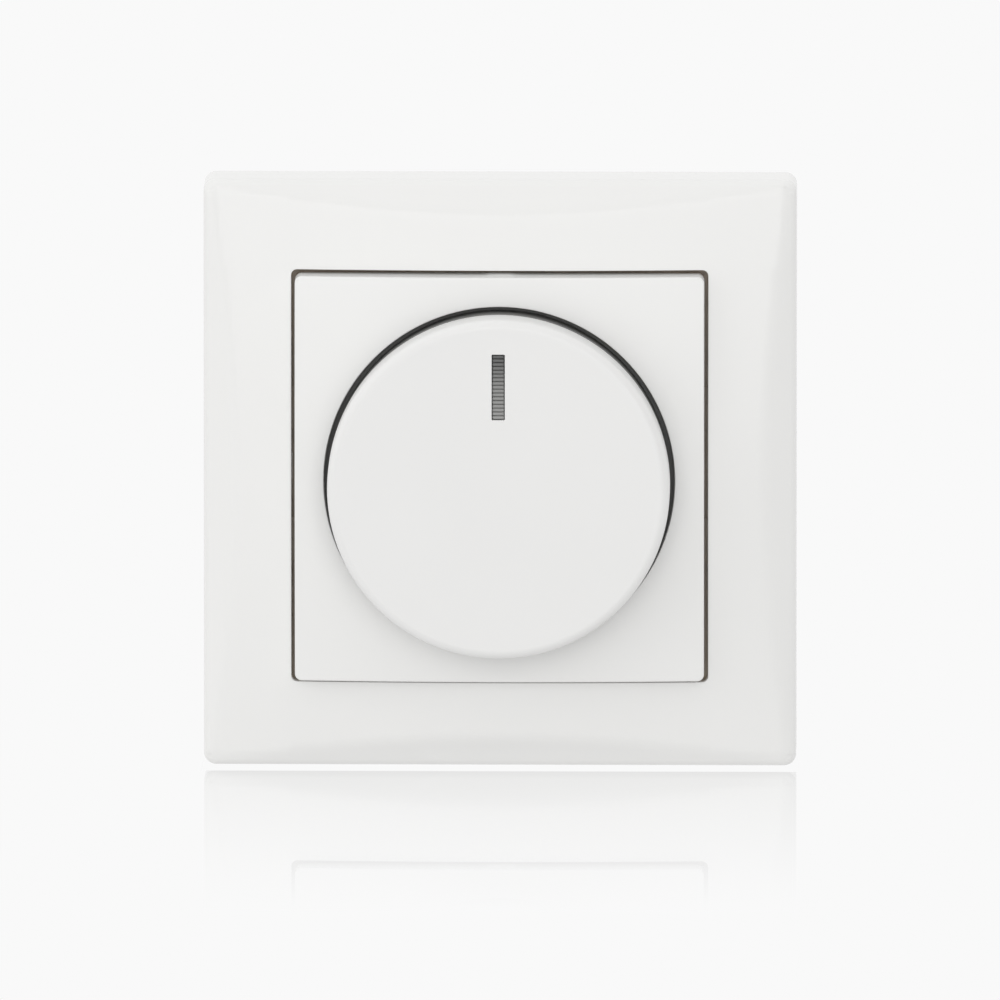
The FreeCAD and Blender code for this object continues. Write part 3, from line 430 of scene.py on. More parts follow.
def turned(name: str, profile: Sequence[Span], steps: int) -> Piece:
    """A turned piece about the knob's axis.

    Args:
        name: Name of the piece.
        profile: Radius and depth of each point of its outline, in order.
        steps: Steps of the turn.

    Returns:
        The turned piece.
    """
    clear_selection()
    bpy.ops.mesh.primitive_plane_add(size=1.0)
    piece = named(name)
    with editing(piece):
        bpy.ops.mesh.select_mode(type="VERT")
        bpy.ops.mesh.select_all(action="SELECT")
        bpy.ops.mesh.merge(type="CENTER")
        radius, depth = profile[0]
        bpy.ops.transform.translate(value=(radius, -depth, 0.0))
        for next_radius, next_depth in profile[1:]:
            move = (next_radius - radius, depth - next_depth, 0.0)
            bpy.ops.mesh.extrude_region_move(TRANSFORM_OT_translate={"value": move})
            radius, depth = next_radius, next_depth
        bpy.ops.mesh.select_all(action="SELECT")
        bpy.ops.mesh.spin(steps=steps, angle=2 * math.pi, center=(0.0, 0.0, 0.0), axis=(0.0, 1.0, 0.0))
    outward(piece)
    return piece


def sheet(name: str, half: float) -> Piece:
    """A flat square sheet on the wall's surface, which faces the front.

    Args:
        name: Name of the piece.
        half: Half of its width.

    Returns:
        The sheet.
    """
    clear_selection()
    bpy.ops.mesh.primitive_plane_add(size=2 * half, rotation=FACING_FRONT)
    return named(name)


def shell_from(piece: Piece, half: float, back: float, wall: float) -> None:
    """Folds the outer edge of a domed sheet back and gives the shell its wall.

    Args:
        piece: The sheet.
        half: Half of its width.
        back: Depth that the edge is folded to.
        wall: Thickness of the wall, behind the sheet's faces.
    """
    with editing(piece):
        pick_edges(piece, lambda place: reach(place) > half - NEAR)
        extrude(-1.0)
        bpy.ops.transform.resize(value=(1.0, 0.0, 1.0), center_override=(0.0, -back, 0.0))
    outward(piece)
    modified(piece, "SOLIDIFY", thickness=wall, offset=-1.0, use_even_offset=True)


def round_outside(piece: Piece, half: float, corner: Round, rim: Round, zone: Span) -> None:
    """Rounds the four outer corners of a square shell and the rim of its front.

    Args:
        piece: The shell.
        half: Half of its width.
        corner: Round of the corners.
        rim: Round of the rim.
        zone: Where the rim lies: its least distance from the middle, and its least depth.
    """
    with editing(piece):
        pick_edges(piece, lambda place: lesser_reach(place) > half - NEAR)
        round_edges(*corner)
        pick_edges(piece, lambda place: reach(place) > zone[0] and depth_of(place) > zone[1],
                   SLIGHT_CREASE)
        round_edges(*rim)


def softened_copy(node: str, name: str, rounding: float) -> Piece:
    """Copies a solid of the frame and breaks its sharp edges.

    Args:
        node: The solid to copy.
        name: Name of the new piece.
        rounding: Width of the broken edges.

    Returns:
        The new piece, on the bench.
    """
    piece = copy_of(frame["nodes"][node])
    piece.name = name
    piece.parent = None
    piece.matrix_world = Matrix.Identity(4)
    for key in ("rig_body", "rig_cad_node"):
        del piece[key]
    piece.scale = (1 / MM, 1 / MM, 1 / MM)
    with editing(applied(piece)):
        bpy.ops.mesh.select_all(action="SELECT")
        bpy.ops.mesh.remove_doubles(threshold=SAME_CAD_POINT)
        bpy.ops.mesh.dissolve_limited(angle_limit=FLAT_WITHIN)
        pick(piece, Pick.EDGES, is_crease)
        round_edges(rounding, 2)
    return piece


class NodeBench:
    """Node tree of a finish or of the surround, with short calls that add nodes."""

    def __init__(self, tree: bpy.types.NodeTree, coordinates: str) -> None:
        """Starts on a tree, with the coordinates that its patterns lie on."""
        self.nodes, self.links = tree.nodes, tree.links
        self.place = self.add("TexCoord").outputs[coordinates]

    def add(self, kind: str, inputs: dict[str | int, object] | None = None,
            **settings: str) -> bpy.types.Node:
        """Adds a node.

        Args:
            kind: Its type, without the words that all shader nodes start with.
            inputs: What its inputs get: constants, or other nodes' outputs.
            settings: Its own settings, such as an operation.

        Returns:
            The node.
        """
        node = self.nodes.new(f"ShaderNode{kind}")
        for name, value in settings.items():
            setattr(node, name, value)
        for name, value in (inputs or {}).items():
            self.feed(node.inputs[name], value)
        return node

    def feed(self, socket: Socket, value: object) -> None:
        """Links another node's output to an input, or sets a constant on it.

        Args:
            socket: The input.
            value: The output or the constant.
        """
        if isinstance(value, Socket):
            self.links.new(value, socket)
        else:
            socket.default_value = value

    def maths(self, operation: str, *values: float | Socket) -> Socket:
        """What a Math node makes of some values."""
        return self.add("Math", dict(enumerate(values)), operation=operation).outputs["Value"]

    def within(self, value: Socket, span: Span) -> Socket:
        """1 where a value lies in a span and 0 elsewhere."""
        return self.maths("COMPARE", value, sum(span) / 2, (span[1] - span[0]) / 2)

    def axis(self, name: str) -> Socket:
        """The place on the surface along an axis, X, Y or Z."""
        return self.add("SeparateXYZ", {"Vector": self.place}).outputs[name]

    def ramp(self, value: Socket, span: Span, levels: Span = (0.0, 1.0), shape: str = "LINEAR") -> Socket:
        """A value that goes from one level to another.

        Args:
            value: The value that it follows.
            span: Where it leaves the first level and where it reaches the second.
            levels: The two levels.
            shape: How it goes from one to the other.

        Returns:
            The new value.
        """
        limits = dict(zip(("From Min", "From Max", "To Min", "To Max"), (*span, *levels)))
        node = self.add("MapRange", {"Value": value, **limits}, interpolation_type=shape)
        return node.outputs["Result"]


class FinishBench(NodeBench):
    """Node tree of one finish, with its shader."""

    def __init__(self, name: str) -> None:
        """Starts a material on the piece's own coordinates.

        Args:
            name: Name of the material.
        """
        self.material = bpy.data.materials.new(name)
        self.material.use_nodes = True
        super().__init__(self.material.node_tree, "Object")
        self.shader = self.nodes["Principled BSDF"].inputs

    def set(self, **values: float) -> None:
        """Sets constants on the shader, with underscores for spaces in their names."""
        for name, value in values.items():
            self.shader[name.replace("_", " ")].default_value = value

    def noise(self, scale: float, detail: float = 2.0, stretch: Triple = (1.0, 1.0, 1.0)) -> Socket:
        """A cloudy pattern on the piece's coordinates.

        Args:
            scale: Clouds per metre.
            detail: How many finer layers it has.
            stretch: Scale along each axis.

        Returns:
            The pattern, from 0 to 1.
        """
        mapping = self.add("Mapping", {"Vector": self.place, "Scale": stretch})
        return self.add("TexNoise", {"Vector": mapping.outputs["Vector"], "Scale": scale,
                                     "Detail": detail}).outputs["Fac"]

    def cells(self, scale: float) -> Socket:
        """A pattern of flat crystals on the piece's coordinates, as grey values."""
        crystal = self.add("TexVoronoi", {"Vector": self.place, "Scale": scale})
        return self.add("SeparateColor", {"Color": crystal.outputs["Color"]}).outputs["Red"]

    def seam(self, band: Span, depth: Span) -> Socket:
        """How deep a place lies in the square seam round the centre plate.

        Args:
            band: How far from the middle the seam starts and ends, in metres.
            depth: Depths in front of the wall where it starts and where it is fully in the seam.

        Returns:
            The share of painted shade, from 0 to 1.
        """
        farther = self.maths("MAXIMUM", *(self.maths("ABSOLUTE", self.axis(name)) for name in "XZ"))
        return self.maths("MULTIPLY", self.within(farther, band),
                          self.ramp(self.axis("Y"), (-depth[0], -depth[1])))

    def colours(self, value: Socket, stops: Sequence[tuple[float, Triple]]) -> None:
        """Colours the surface by a value.

        Args:
            value: The value, from 0 to 1.
            stops: Values and the colours at them, in order.
        """
        ramp = self.add("ValToRGB", {"Fac": value})
        points = ramp.color_ramp.elements
        while len(points) < len(stops):
            points.new(0.5)
        for point, (position, colour) in zip(points, stops):
            point.position = position
            point.color = (*colour, 1.0)
        self.feed(self.shader["Base Color"], ramp.outputs["Color"])

    def shades(self, value: Socket, colour: Triple, factors: Span, stops: Span = (0.3, 0.7)) -> None:
        """Colours the surface by a value, from a darker to a lighter shade of one colour.

        Args:
            value: The value, from 0 to 1.
            colour: The colour.
            factors: How dark and how light the two shades are.
            stops: Values at which they are reached.
        """
        self.colours(value, [(stop, tuple(min(1.0, part * factor) for part in colour))
                             for stop, factor in zip(stops, factors)])

    def tint(self, share: Socket, colour: Triple) -> None:
        """Mixes a share of a colour into the surface.

        Args:
            share: How much of it shows, from 0 to 1.
            colour: The colour.
        """
        base = self.shader["Base Color"].links[0].from_socket
        blend = self.add("MixRGB", {"Fac": share, "Color1": base, "Color2": (*colour, 1.0)})
        self.feed(self.shader["Base Color"], blend.outputs["Color"])

    def roughness(self, value: Socket, levels: Span) -> None:
        """Varies the roughness with a value, between two levels."""
        self.feed(self.shader["Roughness"], self.ramp(value, (0.0, 1.0), levels))

    def relief(self, value: Socket, strength: float, height: float) -> None:
        """Raises the surface by a value.

        Args:
            value: The value, from 0 to 1.
            strength: Share of the relief that shows.
            height: Height of the relief, in metres.
        """
        bump = self.add("Bump", {"Strength": strength, "Distance": height, "Height": value})
        self.feed(self.shader["Normal"], bump.outputs["Normal"])


@dataclass(frozen=True)
class Finish:
    """What all finishes share. A pattern is given by its scale and how many finer layers it has."""

    name: str
    colour: Triple

    def material(self) -> bpy.types.Material:
        """Makes the node material of this finish.

        Returns:
            The material.
        """
        bench = FinishBench(self.name)
        self.dress(bench)
        return bench.material

    def dress(self, bench: FinishBench) -> None:
        """Sets up the nodes of this finish."""
        raise NotImplementedError


@dataclass(frozen=True)
class MouldedPlastic(Finish):
    """Injection-moulded plastic with a fine die grain."""

    rough: float = 0.4
    grain: float = 2600.0
    grain_strength: float = 0.06
    grain_height: float = 0.00003
    variation: float = 0.02
    gloss: float = 0.5
    clouds: Span = (45.0, 3.0)
    wear: Span = (110.0, 4.0)
    wear_range: float = 0.04

    def dress(self, bench: FinishBench) -> None:
        """Sets up the nodes that all moulded plastic has.

        Args:
            bench: The finish's node tree.
        """
        bench.set(Specular_IOR_Level=self.gloss)
        bench.shades(bench.noise(*self.clouds), self.colour, (1.0 - self.variation, 1.0 + self.variation))
        bench.roughness(bench.noise(*self.wear), (self.rough - self.wear_range, self.rough + self.wear_range))
        bench.relief(bench.noise(self.grain), self.grain_strength, self.grain_height)


@dataclass(frozen=True)
class CoverPlastic(MouldedPlastic):
    """White cover plastic with painted shade: the seam between centre plate and frame is tinted a darker
    brown grey.
    """

    # colour of the painted shade that darkens the seam round the centre plate
    seam_shade_colour: Triple = (0.42, 0.345, 0.27)
    seam_band: Span = (0.0273, 0.0283)
    seam_depth: Span = (0.0101, 0.0089)

    def dress(self, bench: FinishBench) -> None:
        """Sets up the nodes of moulded plastic and paints shade into the seam."""
        super().dress(bench)
        # painted shade: the seam is mixed towards a darker brown grey, more so the deeper it lies
        bench.tint(bench.seam(self.seam_band, self.seam_depth), self.seam_shade_colour)


@dataclass(frozen=True)
class PointerPlastic(Finish):
    """Tinted plastic of the pointer, darker towards its upper end."""

    top: Triple
    bottom: Triple
    span: Span
    rough: Span = (0.27, 0.37)
    wear: float = 600.0
    grain: float = 3000.0
    grain_strength: float = 0.05
    grain_height: float = 0.00002

    def dress(self, bench: FinishBench) -> None:
        """Sets up the nodes of the pointer, with its own colour half-way up.

        Args:
            bench: The finish's node tree.
        """
        bench.colours(bench.ramp(bench.axis("Z"), self.span),
                      ((0.0, self.bottom), (0.5, self.colour), (1.0, self.top)))
        bench.roughness(bench.noise(self.wear), self.rough)
        bench.relief(bench.noise(self.grain), self.grain_strength, self.grain_height)


@dataclass(frozen=True)
class MetalFinish(Finish):
    """Bare or plated metal of a small fitting."""

    surface: Metal
    rough: float = 0.3
    clouds: Span = (260.0, 4.0)
    shade_factors: Span = (0.9, 1.06)
    lines: Span = (4200.0, 3.0)
    smoother: float = 0.08
    rougher: float = 0.1
    line_strength: float = 0.12
    line_height: float = 0.00002

    def dress(self, bench: FinishBench) -> None:
        """Sets up the nodes of this metal, with lines that its surface stretches.

        Args:
            bench: The finish's node tree.
        """
        bench.set(Metallic=1.0)
        bench.shades(bench.noise(*self.clouds), self.colour, self.shade_factors)
        lines = bench.noise(*self.lines, self.surface.value)
        bench.roughness(lines, (self.rough - self.smoother, self.rough + self.rougher))
        bench.relief(lines, self.line_strength, self.line_height)


@dataclass(frozen=True)
class SpangledZinc(Finish):
    """Galvanised sheet with flat zinc crystals."""

    crystals: float = 1300.0
    shade_factors: Span = (0.88, 1.08)
    rough: Span = (0.3, 0.48)
    dents: Span = (1500.0, 3.0)
    dent_strength: float = 0.06
    dent_height: float = 0.00003

    def dress(self, bench: FinishBench) -> None:
        """Sets up the nodes of the sheet.

        Args:
            bench: The finish's node tree.
        """
        bench.set(Metallic=1.0)
        crystal = bench.cells(self.crystals)
        bench.shades(crystal, self.colour, self.shade_factors, (0.0, 1.0))
        bench.roughness(crystal, self.rough)
        bench.relief(bench.noise(*self.dents), self.dent_strength, self.dent_height)


@dataclass(frozen=True)
class BoardLaminate(Finish):
    """Glass-fibre board under a green mask, with its weave just showing."""

    weave: Span = (1800.0, 1.0)
    weave_stretch: Triple = (1.0, 1.0, 0.2)
    weave_strength: float = 0.1
    weave_height: float = 0.00004
    shade_factors: Span = (0.8, 1.2)
    shade_stops: Span = (0.35, 0.65)
    rough: Span = (0.28, 0.4)
    wear: float = 700.0

    def dress(self, bench: FinishBench) -> None:
        """Sets up the nodes of the board.

        Args:
            bench: The finish's node tree.
        """
        weave = bench.noise(*self.weave, self.weave_stretch)
        bench.shades(weave, self.colour, self.shade_factors, self.shade_stops)
        bench.roughness(bench.noise(self.wear), self.rough)
        bench.relief(weave, self.weave_strength, self.weave_height)


@dataclass(frozen=True)
class TubeGlass(Finish):
    """Clear glass of the fuse."""

    clear: float = 0.85
    bending: float = 1.5
    streaks: Span = (900.0, 2.0)
    streak_stretch: Triple = (0.05, 1.0, 1.0)
    shade_factors: Span = (0.96, 1.0)
    rough: Span = (0.04, 0.1)

    def dress(self, bench: FinishBench) -> None:
        """Sets up the nodes of the glass.

        Args:
            bench: The finish's node tree.
        """
        bench.set(Transmission_Weight=self.clear, IOR=self.bending)
        streaks = bench.noise(*self.streaks, self.streak_stretch)
        bench.shades(streaks, self.colour, self.shade_factors)
        bench.roughness(streaks, self.rough)


FINISHES = {
    # the cover's finish has painted shade in the seam round the centre plate
    "white_cover": CoverPlastic("white_cover_plastic", (0.86, 0.858, 0.845), 0.24, variation=0.006),
    "white_knob": MouldedPlastic("white_knob_plastic", (0.832, 0.83, 0.82), 0.3, variation=0.006),
    "white_shaft": MouldedPlastic("white_shaft_plastic", (0.74, 0.74, 0.71), 0.45),
    "grey_plastic": MouldedPlastic("grey_core_plastic", (0.18, 0.18, 0.174), 0.5, variation=0.08),
    "grey_lens": PointerPlastic("grey_pointer_plastic", (0.26, 0.26, 0.254), top=(0.085, 0.085, 0.085),
                                bottom=(0.32, 0.32, 0.312), span=(0.0096, 0.0185)),
    "dark_housing": MouldedPlastic("dark_housing_plastic", (0.16, 0.16, 0.168), 0.55,
                                   grain=1500.0, grain_strength=0.15, variation=0.08),
    "black_plastic": MouldedPlastic("black_plastic", (0.03, 0.03, 0.03), 0.5, variation=0.15),
    "red_plastic": MouldedPlastic("red_plunger_plastic", (0.5, 0.06, 0.05), 0.42, variation=0.06),
    "zinc_sheet": SpangledZinc("galvanised_sheet", (0.62, 0.63, 0.64)),
    "plated_steel": MetalFinish("plated_steel", (0.68, 0.68, 0.66), Metal.PLATED, 0.28),
    "spring_steel": MetalFinish("spring_steel", (0.46, 0.46, 0.47), Metal.BRUSHED, 0.34),
    "brass": MetalFinish("turned_brass", (0.78, 0.6, 0.28), Metal.TURNED, 0.3),
    "carbon_track": MouldedPlastic("carbon_track", (0.05, 0.045, 0.04), 0.6, variation=0.15),
    "green_board": BoardLaminate("board_laminate", (0.05, 0.24, 0.1)),
    "ferrite": MouldedPlastic("pressed_ferrite", (0.11, 0.11, 0.112), 0.65, grain=1800.0,
                              grain_strength=0.3, variation=0.15),
    "copper_wire": MetalFinish("enamelled_copper", (0.62, 0.28, 0.12), Metal.PLATED, 0.24),
    "capacitor_red": MouldedPlastic("capacitor_resin", (0.42, 0.08, 0.06), 0.25, variation=0.08),
    "fuse_glass": TubeGlass("fuse_glass", (0.9, 0.93, 0.92)),
}
SLOT_OF = {part["node"]: part["material_slot"] for part in frame["record"]["subparts"]}
MATERIALS: dict[str, bpy.types.Material] = {}


def finish_of(node: str) -> bpy.types.Material:
    """The material of a node's finish, made once for all pieces that share it.

    Args:
        node: The solid whose finish it is.

    Returns:
        The material.
    """
    slot = SLOT_OF[node]
    if slot not in MATERIALS:
        MATERIALS[slot] = FINISHES[slot].material()
    return MATERIALS[slot]


def dress_node(node: str) -> None:
    """Gives a solid of the frame, which stays as it is, its finish.

    Args:
        node: The solid.
    """
    for material_slot in frame["nodes"][node].material_slots:
        material_slot.material = finish_of(node)
    log.info("%s keeps its solid, in %s", node, SLOT_OF[node])


def settle(piece: Piece, node: str, sharp_from: float = 32.0) -> None:
    """Brings a bench piece to metres, shades and finishes it, and puts it on its node's body.

    Args:
        piece: The finished shape.
        node: The solid that it stands for.
        sharp_from: Angle between faces, in degrees, from which an edge stays sharp.
    """
    piece.scale = (MM, MM, MM)
    applied(piece)
    bpy.ops.object.shade_smooth_by_angle(angle=math.radians(sharp_from))
    modified(piece, "WEIGHTED_NORMAL", keep_sharp=True)
    piece.data.materials.clear()
    piece.data.materials.append(finish_of(node))
    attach(piece, frame["nodes"][node]["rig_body"])
    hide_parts(node)
    log.info("%s stands for %s, %d faces", piece.name, node, len(piece.data.polygons))


@dataclass
class CoverFrame:
    """Square cover frame: a domed shell with a soft shoulder round its outside and a window."""

    half: float = 40.0
    window_half: float = 28.15
    edge_depth: float = 8.0
    crown_depth: float = 12.52
    crown_radius: float = 354.0
    flank_slope: float = 0.633
    ridge_softness: float = 0.15
    wall: float = 1.5
    corner_round: Round = (1.6, 6)
    rim_round: Round = (1.0, 6)
    rim_zone: Span = (39.2, 5.0)
    window_round: Round = (0.8, 4)
    window_zone: float = 0.2
    lip_round: Round = (0.06, 3)
    lip_width: float = 0.3
    lip_height: float = 0.4
    rib_span: Span = (35.8, 39.0)
    rib_depth: Span = (1.5, 7.0)
    rib_width: float = 1.2
    rib_place: float = 12.0
    rib_round: Round = (0.15, 2)
    lines: tuple[float, ...] = (0.0, 4.0, 8.0, 12.0, 16.0, 20.0, 24.0, 28.15, 28.6, 29.6, 31.0, 32.2,
                                33.2, 34.0, 34.7, 35.3, 35.9, 36.5, 37.1, 37.7, 38.3)

    def depth_at(self, x: float, z: float) -> float:
        """Depth of the front over a place: a wide dome that four flat flanks cut back, with soft ridges.

        Args:
            x: Distance from the middle, sideways.
            z: Distance from the middle, upwards.

        Returns:
            The depth in front of the wall.
        """
        dome = self.crown_depth - (x * x + z * z) / (2 * self.crown_radius)
        flanks = [self.edge_depth + (self.half - abs(place)) * self.flank_slope for place in (x, z)]
        total = sum(math.exp(-depth / self.ridge_softness) for depth in (dome, *flanks))
        return -self.ridge_softness * math.log(total)

    def build(self) -> Piece:
        """Makes the shell, from a sheet that is cut, domed, folded back and thickened.

        Returns:
            The frame, on the bench.
        """
        piece = sheet("cover_frame_shell", self.half)
        with editing(piece):
            for place in sorted({sign * line for line in self.lines for sign in (1, -1)}):
                for normal in (Vector((1.0, 0.0, 0.0)), Vector((0.0, 0.0, 1.0))):
                    bpy.ops.mesh.select_all(action="SELECT")
                    bpy.ops.mesh.bisect(plane_co=normal * place, plane_no=normal)
            pick(piece, Pick.FACES, lambda face: reach(face.calc_center_median()) < self.window_half)
            bpy.ops.mesh.delete(type="FACE")
        crown(piece, self.depth_at)
        shell_from(piece, self.half, 0.0, self.wall)
        round_outside(piece, self.half, self.corner_round, self.rim_round, self.rim_zone)
        self.round_window(piece)
        mend(piece)
        return join([piece] + self.ribs())

    def round_window(self, piece: Piece) -> None:
        """Rounds the window's corners and the lip round it.

        Args:
            piece: The frame's shell.
        """
        with editing(piece):
            pick_edges(piece, lambda place: all(abs(far - self.window_half) < self.window_zone
                                                for far in (reach(place), lesser_reach(place))))
            round_edges(*self.window_round)
            pick_edges(piece, lambda place: reach(place) < self.window_half + self.lip_width and depth_of(
                place) > self.depth_at(place.x, place.z) - self.lip_height, CREASE)
            round_edges(*self.lip_round)

    def ribs(self) -> list[Piece]:
        """Makes the ribs inside the shell that keep the frame in place round the mounting ring.

        Returns:
            The ribs.
        """
        half_width = self.rib_width / 2
        rib = block("cover_rib", self.rib_span, self.rib_depth, (-half_width, half_width), self.rib_round)
        return set_round(rib, (-self.rib_place, self.rib_place))

    def dress(self) -> None:
        """Builds the frame and settles it in white plastic."""
        settle(self.build(), "cover_frame")


@dataclass
class CentrePlate:
    """Domed centre plate with a round hole, a skirt, hold-down tabs and snap legs."""

    half: float = 27.6
    hole_radius: float = 23.7
    crown_depth: float = 15.5
    crown_radius: float = 300.0
    back: float = 7.4
    wall: float = 1.6
    corner_round: Round = (0.9, 5)
    rim_round: Round = (0.2, 4)
    rim_zone: Span = (27.1, 9.4)
    hole_round: Round = (0.12, 3)
    hole_lip_width: float = 0.1
    hole_lip_height: float = 0.3
    rows: int = 6
    side_steps: int = 32
    tab_reach: Span = (26.2, 28.9)
    tab_depth: Span = (7.4, 8.4)
    tab_place: float = 9.0
    tab_width: float = 6.0
    tab_round: Round = (0.12, 2)
    flange_reach: Span = (27.2, 28.05)
    flange_depth: Span = (7.5, 8.0)
    flange_overlap: float = 0.13
    flange_round: Round = (0.05, 2)
    leg_place: float = 15.5
    leg_width: float = 5.0
    leg_reach: Span = (21.7, 23.2)
    leg_depth: Span = (-2.05, 12.75)
    leg_round: Round = (0.2, 2)
    hook_reach: Span = (20.9, 22.0)
    hook_depth: Span = (-2.05, -0.3)

    def depth_at(self, x: float, z: float) -> float:
        """Depth of the domed front over a place."""
        return self.crown_depth - (x * x + z * z) / (2 * self.crown_radius)

    def build(self) -> Piece:
        """Makes the plate: a square and a round outline bridged, domed, folded back and thickened.

        Returns:
            The plate, on the bench.
        """
        piece = sheet("centre_plate_shell", self.half)
        with editing(piece):
            bpy.ops.mesh.select_all(action="SELECT")
            bpy.ops.mesh.delete(type="ONLY_FACE")
            bpy.ops.mesh.select_all(action="SELECT")
            bpy.ops.mesh.subdivide(number_cuts=self.side_steps - 1)
            bpy.ops.mesh.primitive_circle_add(vertices=4 * self.side_steps, radius=self.hole_radius,
                                              rotation=FACING_FRONT)
            bpy.ops.mesh.select_all(action="SELECT")
            bpy.ops.mesh.bridge_edge_loops(number_cuts=self.rows, interpolation="LINEAR")
        crown(piece, self.depth_at)
        shell_from(piece, self.half, self.back, self.wall)
        round_outside(piece, self.half, self.corner_round, self.rim_round, self.rim_zone)
        with editing(piece):
            pick_edges(piece, lambda place: math.hypot(place.x, place.z) < self.hole_radius
                       + self.hole_lip_width and depth_of(place) > self.depth_at(place.x, place.z)
                       - self.hole_lip_height, SLIGHT_CREASE)
            round_edges(*self.hole_round)
        return join([piece] + self.flange() + self.tabs() + self.legs())

    def flange(self) -> list[Piece]:
        """Makes the thin flange round the skirt's rear edge that closes the seam from behind.

        Returns:
            Its four bars.
        """
        inner, outer = self.flange_reach
        return set_round(block("plate_flange", self.flange_reach, self.flange_depth,
                               (-outer, inner + self.flange_overlap), self.flange_round))

    def tabs(self) -> list[Piece]:
        """Makes the tabs at the skirt's rear edge that the frame holds down.

        Returns:
            The tabs.
        """
        half_width = self.tab_width / 2
        tab = block("plate_tab", self.tab_reach, self.tab_depth, (-half_width, half_width), self.tab_round)
        return set_round(tab, (-self.tab_place, self.tab_place))

    def legs(self) -> list[Piece]:
        """Makes the snap legs with their hooks, at the top and the bottom.

        Returns:
            The legs.
        """
        across = (-self.leg_width / 2, self.leg_width / 2)
        leg = block("plate_leg", self.leg_reach, self.leg_depth, across, self.leg_round)
        hook = block("plate_hook", self.hook_reach, self.hook_depth, across, self.leg_round)
        return set_round(join([leg, hook]), (-self.leg_place, self.leg_place), (1, 3))

    def dress(self) -> None:
        """Builds the plate and settles it in white plastic."""
        settle(self.build(), "centre_plate")


@dataclass
class Knob:
    """Knob: a white cap over a grey core, with a ribbed pointer in the cap's slot."""

    cap_radius: float = 23.08
    cap_depth: Span = (17.3, 23.0)
    cap_sides: int = 160
    cap_round: Round = (1.2, 8)
    cap_rear_round: Round = (0.12, 2)
    cap_wall: float = 1.6
    cap_ceiling: float = 21.4
    slot_width: float = 1.75
    slot_length: float = 8.92
    slot_middle: float = 14.04
    slot_corner: Round = (0.1, 2)
    slot_round: Round = (0.08, 2)
    pointer_width: float = 1.61
    pointer_length: float = 8.78
    pointer_front: float = 22.85
    pointer_foot: float = 20.4
    pointer_round: Round = (0.08, 2)
    pointer_ribs: int = 17
    rib_height: float = 0.35
    rib_root: float = 0.2
    rib_gap: float = 0.02
    rib_round: Round = (0.2, 4)
    rib_sharp_from: float = 50.0
    neck_radius: float = 21.38
    neck_front: float = 20.4
    neck_chamfer: float = 0.3
    groove_radius: float = 22.2
    groove_back: float = 16.5
    skirt_radius: float = 22.95
    skirt_chamfer: float = 0.65
    skirt_back: float = 12.0
    flange_radius: float = 24.6
    flange_back: float = 10.8
    flange_chamfer: float = 0.2
    inner_radius: float = 21.35
    inner_front: float = 15.7
    neck_inner: float = 19.78
    disc_back: float = 18.6
    hub_radius: float = 5.2
    hub_back: float = 8.0
    hub_chamfer: float = 0.3
    bore_radius: float = 3.07
    bore_front: float = 18.9
    core_steps: int = 144

    def build_cap(self) -> Piece:
        """Makes the cap: a rounded disc, hollowed from behind, with the pointer's slot.

        Returns:
            The cap, on the bench.
        """
        back, front = self.cap_depth
        piece = barrel("knob_cap_cup", self.cap_radius, self.cap_depth, self.cap_sides, self.cap_round)
        with editing(piece):
            pick(piece, Pick.FACES, lambda face: face.normal.y > FACES_BACK)
            bpy.ops.mesh.inset(thickness=self.cap_wall)
            extrude(self.cap_ceiling - back)
            pick_edges(piece, lambda place: depth_of(place) < back + NEAR, CREASE)
            round_edges(*self.cap_rear_round)
        half_width, half_length = self.slot_width / 2, self.slot_length / 2
        cutter = block("slot_cutter", (-half_width, half_width),
                       (self.cap_ceiling - OVERSHOOT, front + OVERSHOOT),
                       (self.slot_middle - half_length, self.slot_middle + half_length), self.slot_corner)
        carve(piece, [cutter])
        with editing(piece):
            pick_edges(piece, lambda place: depth_of(place) > front - NEAR, CREASE)
            round_edges(*self.slot_round)
        return piece

    def build_core(self) -> Piece:
        """Makes the turned core with its neck, skirt, flange and hub.

        Returns:
            The core, on the bench.
        """
        profile = (
            (0.0, self.neck_front), (self.neck_radius - self.neck_chamfer, self.neck_front),
            (self.neck_radius, self.neck_front - self.neck_chamfer), (self.neck_radius, self.cap_depth[0]),
            (self.groove_radius, self.cap_depth[0]), (self.groove_radius, self.groove_back),
            (self.skirt_radius - self.skirt_chamfer, self.groove_back),
            (self.skirt_radius, self.groove_back - self.skirt_chamfer), (self.skirt_radius, self.skirt_back),
            (self.flange_radius - self.flange_chamfer, self.skirt_back),
            (self.flange_radius, self.skirt_back - self.flange_chamfer),
            (self.flange_radius, self.flange_back + self.flange_chamfer),
            (self.flange_radius - self.flange_chamfer, self.flange_back),
            (self.inner_radius, self.flange_back), (self.inner_radius, self.inner_front),
            (self.neck_inner, self.inner_front), (self.neck_inner, self.disc_back),
            (self.hub_radius, self.disc_back), (self.hub_radius, self.hub_back + self.hub_chamfer),
            (self.hub_radius - self.hub_chamfer, self.hub_back), (self.bore_radius, self.hub_back),
            (self.bore_radius, self.bore_front), (0.0, self.bore_front))
        return turned("knob_core_body", profile, self.core_steps)

    def build_pointer(self) -> Piece:
        """Makes the pointer: a bar with rounded ribs across its front.

        Returns:
            The pointer, on the bench.
        """
        across = (-self.pointer_width / 2, self.pointer_width / 2)
        low = self.slot_middle - self.pointer_length / 2
        pitch = self.pointer_length / self.pointer_ribs
        root = self.pointer_front - self.rib_height
        bar = block("pointer_bar", across, (self.pointer_foot, root), (low, low + self.pointer_length),
                    self.pointer_round)
        rib = block("pointer_rib", across, (root - self.rib_root, self.pointer_front),
                    (low + self.rib_gap, low + pitch - self.rib_gap), self.rib_round)
        modified(rib, "ARRAY", use_relative_offset=False, use_constant_offset=True,
                 constant_offset_displace=(0.0, 0.0, pitch), count=self.pointer_ribs)
        return join([bar, rib])

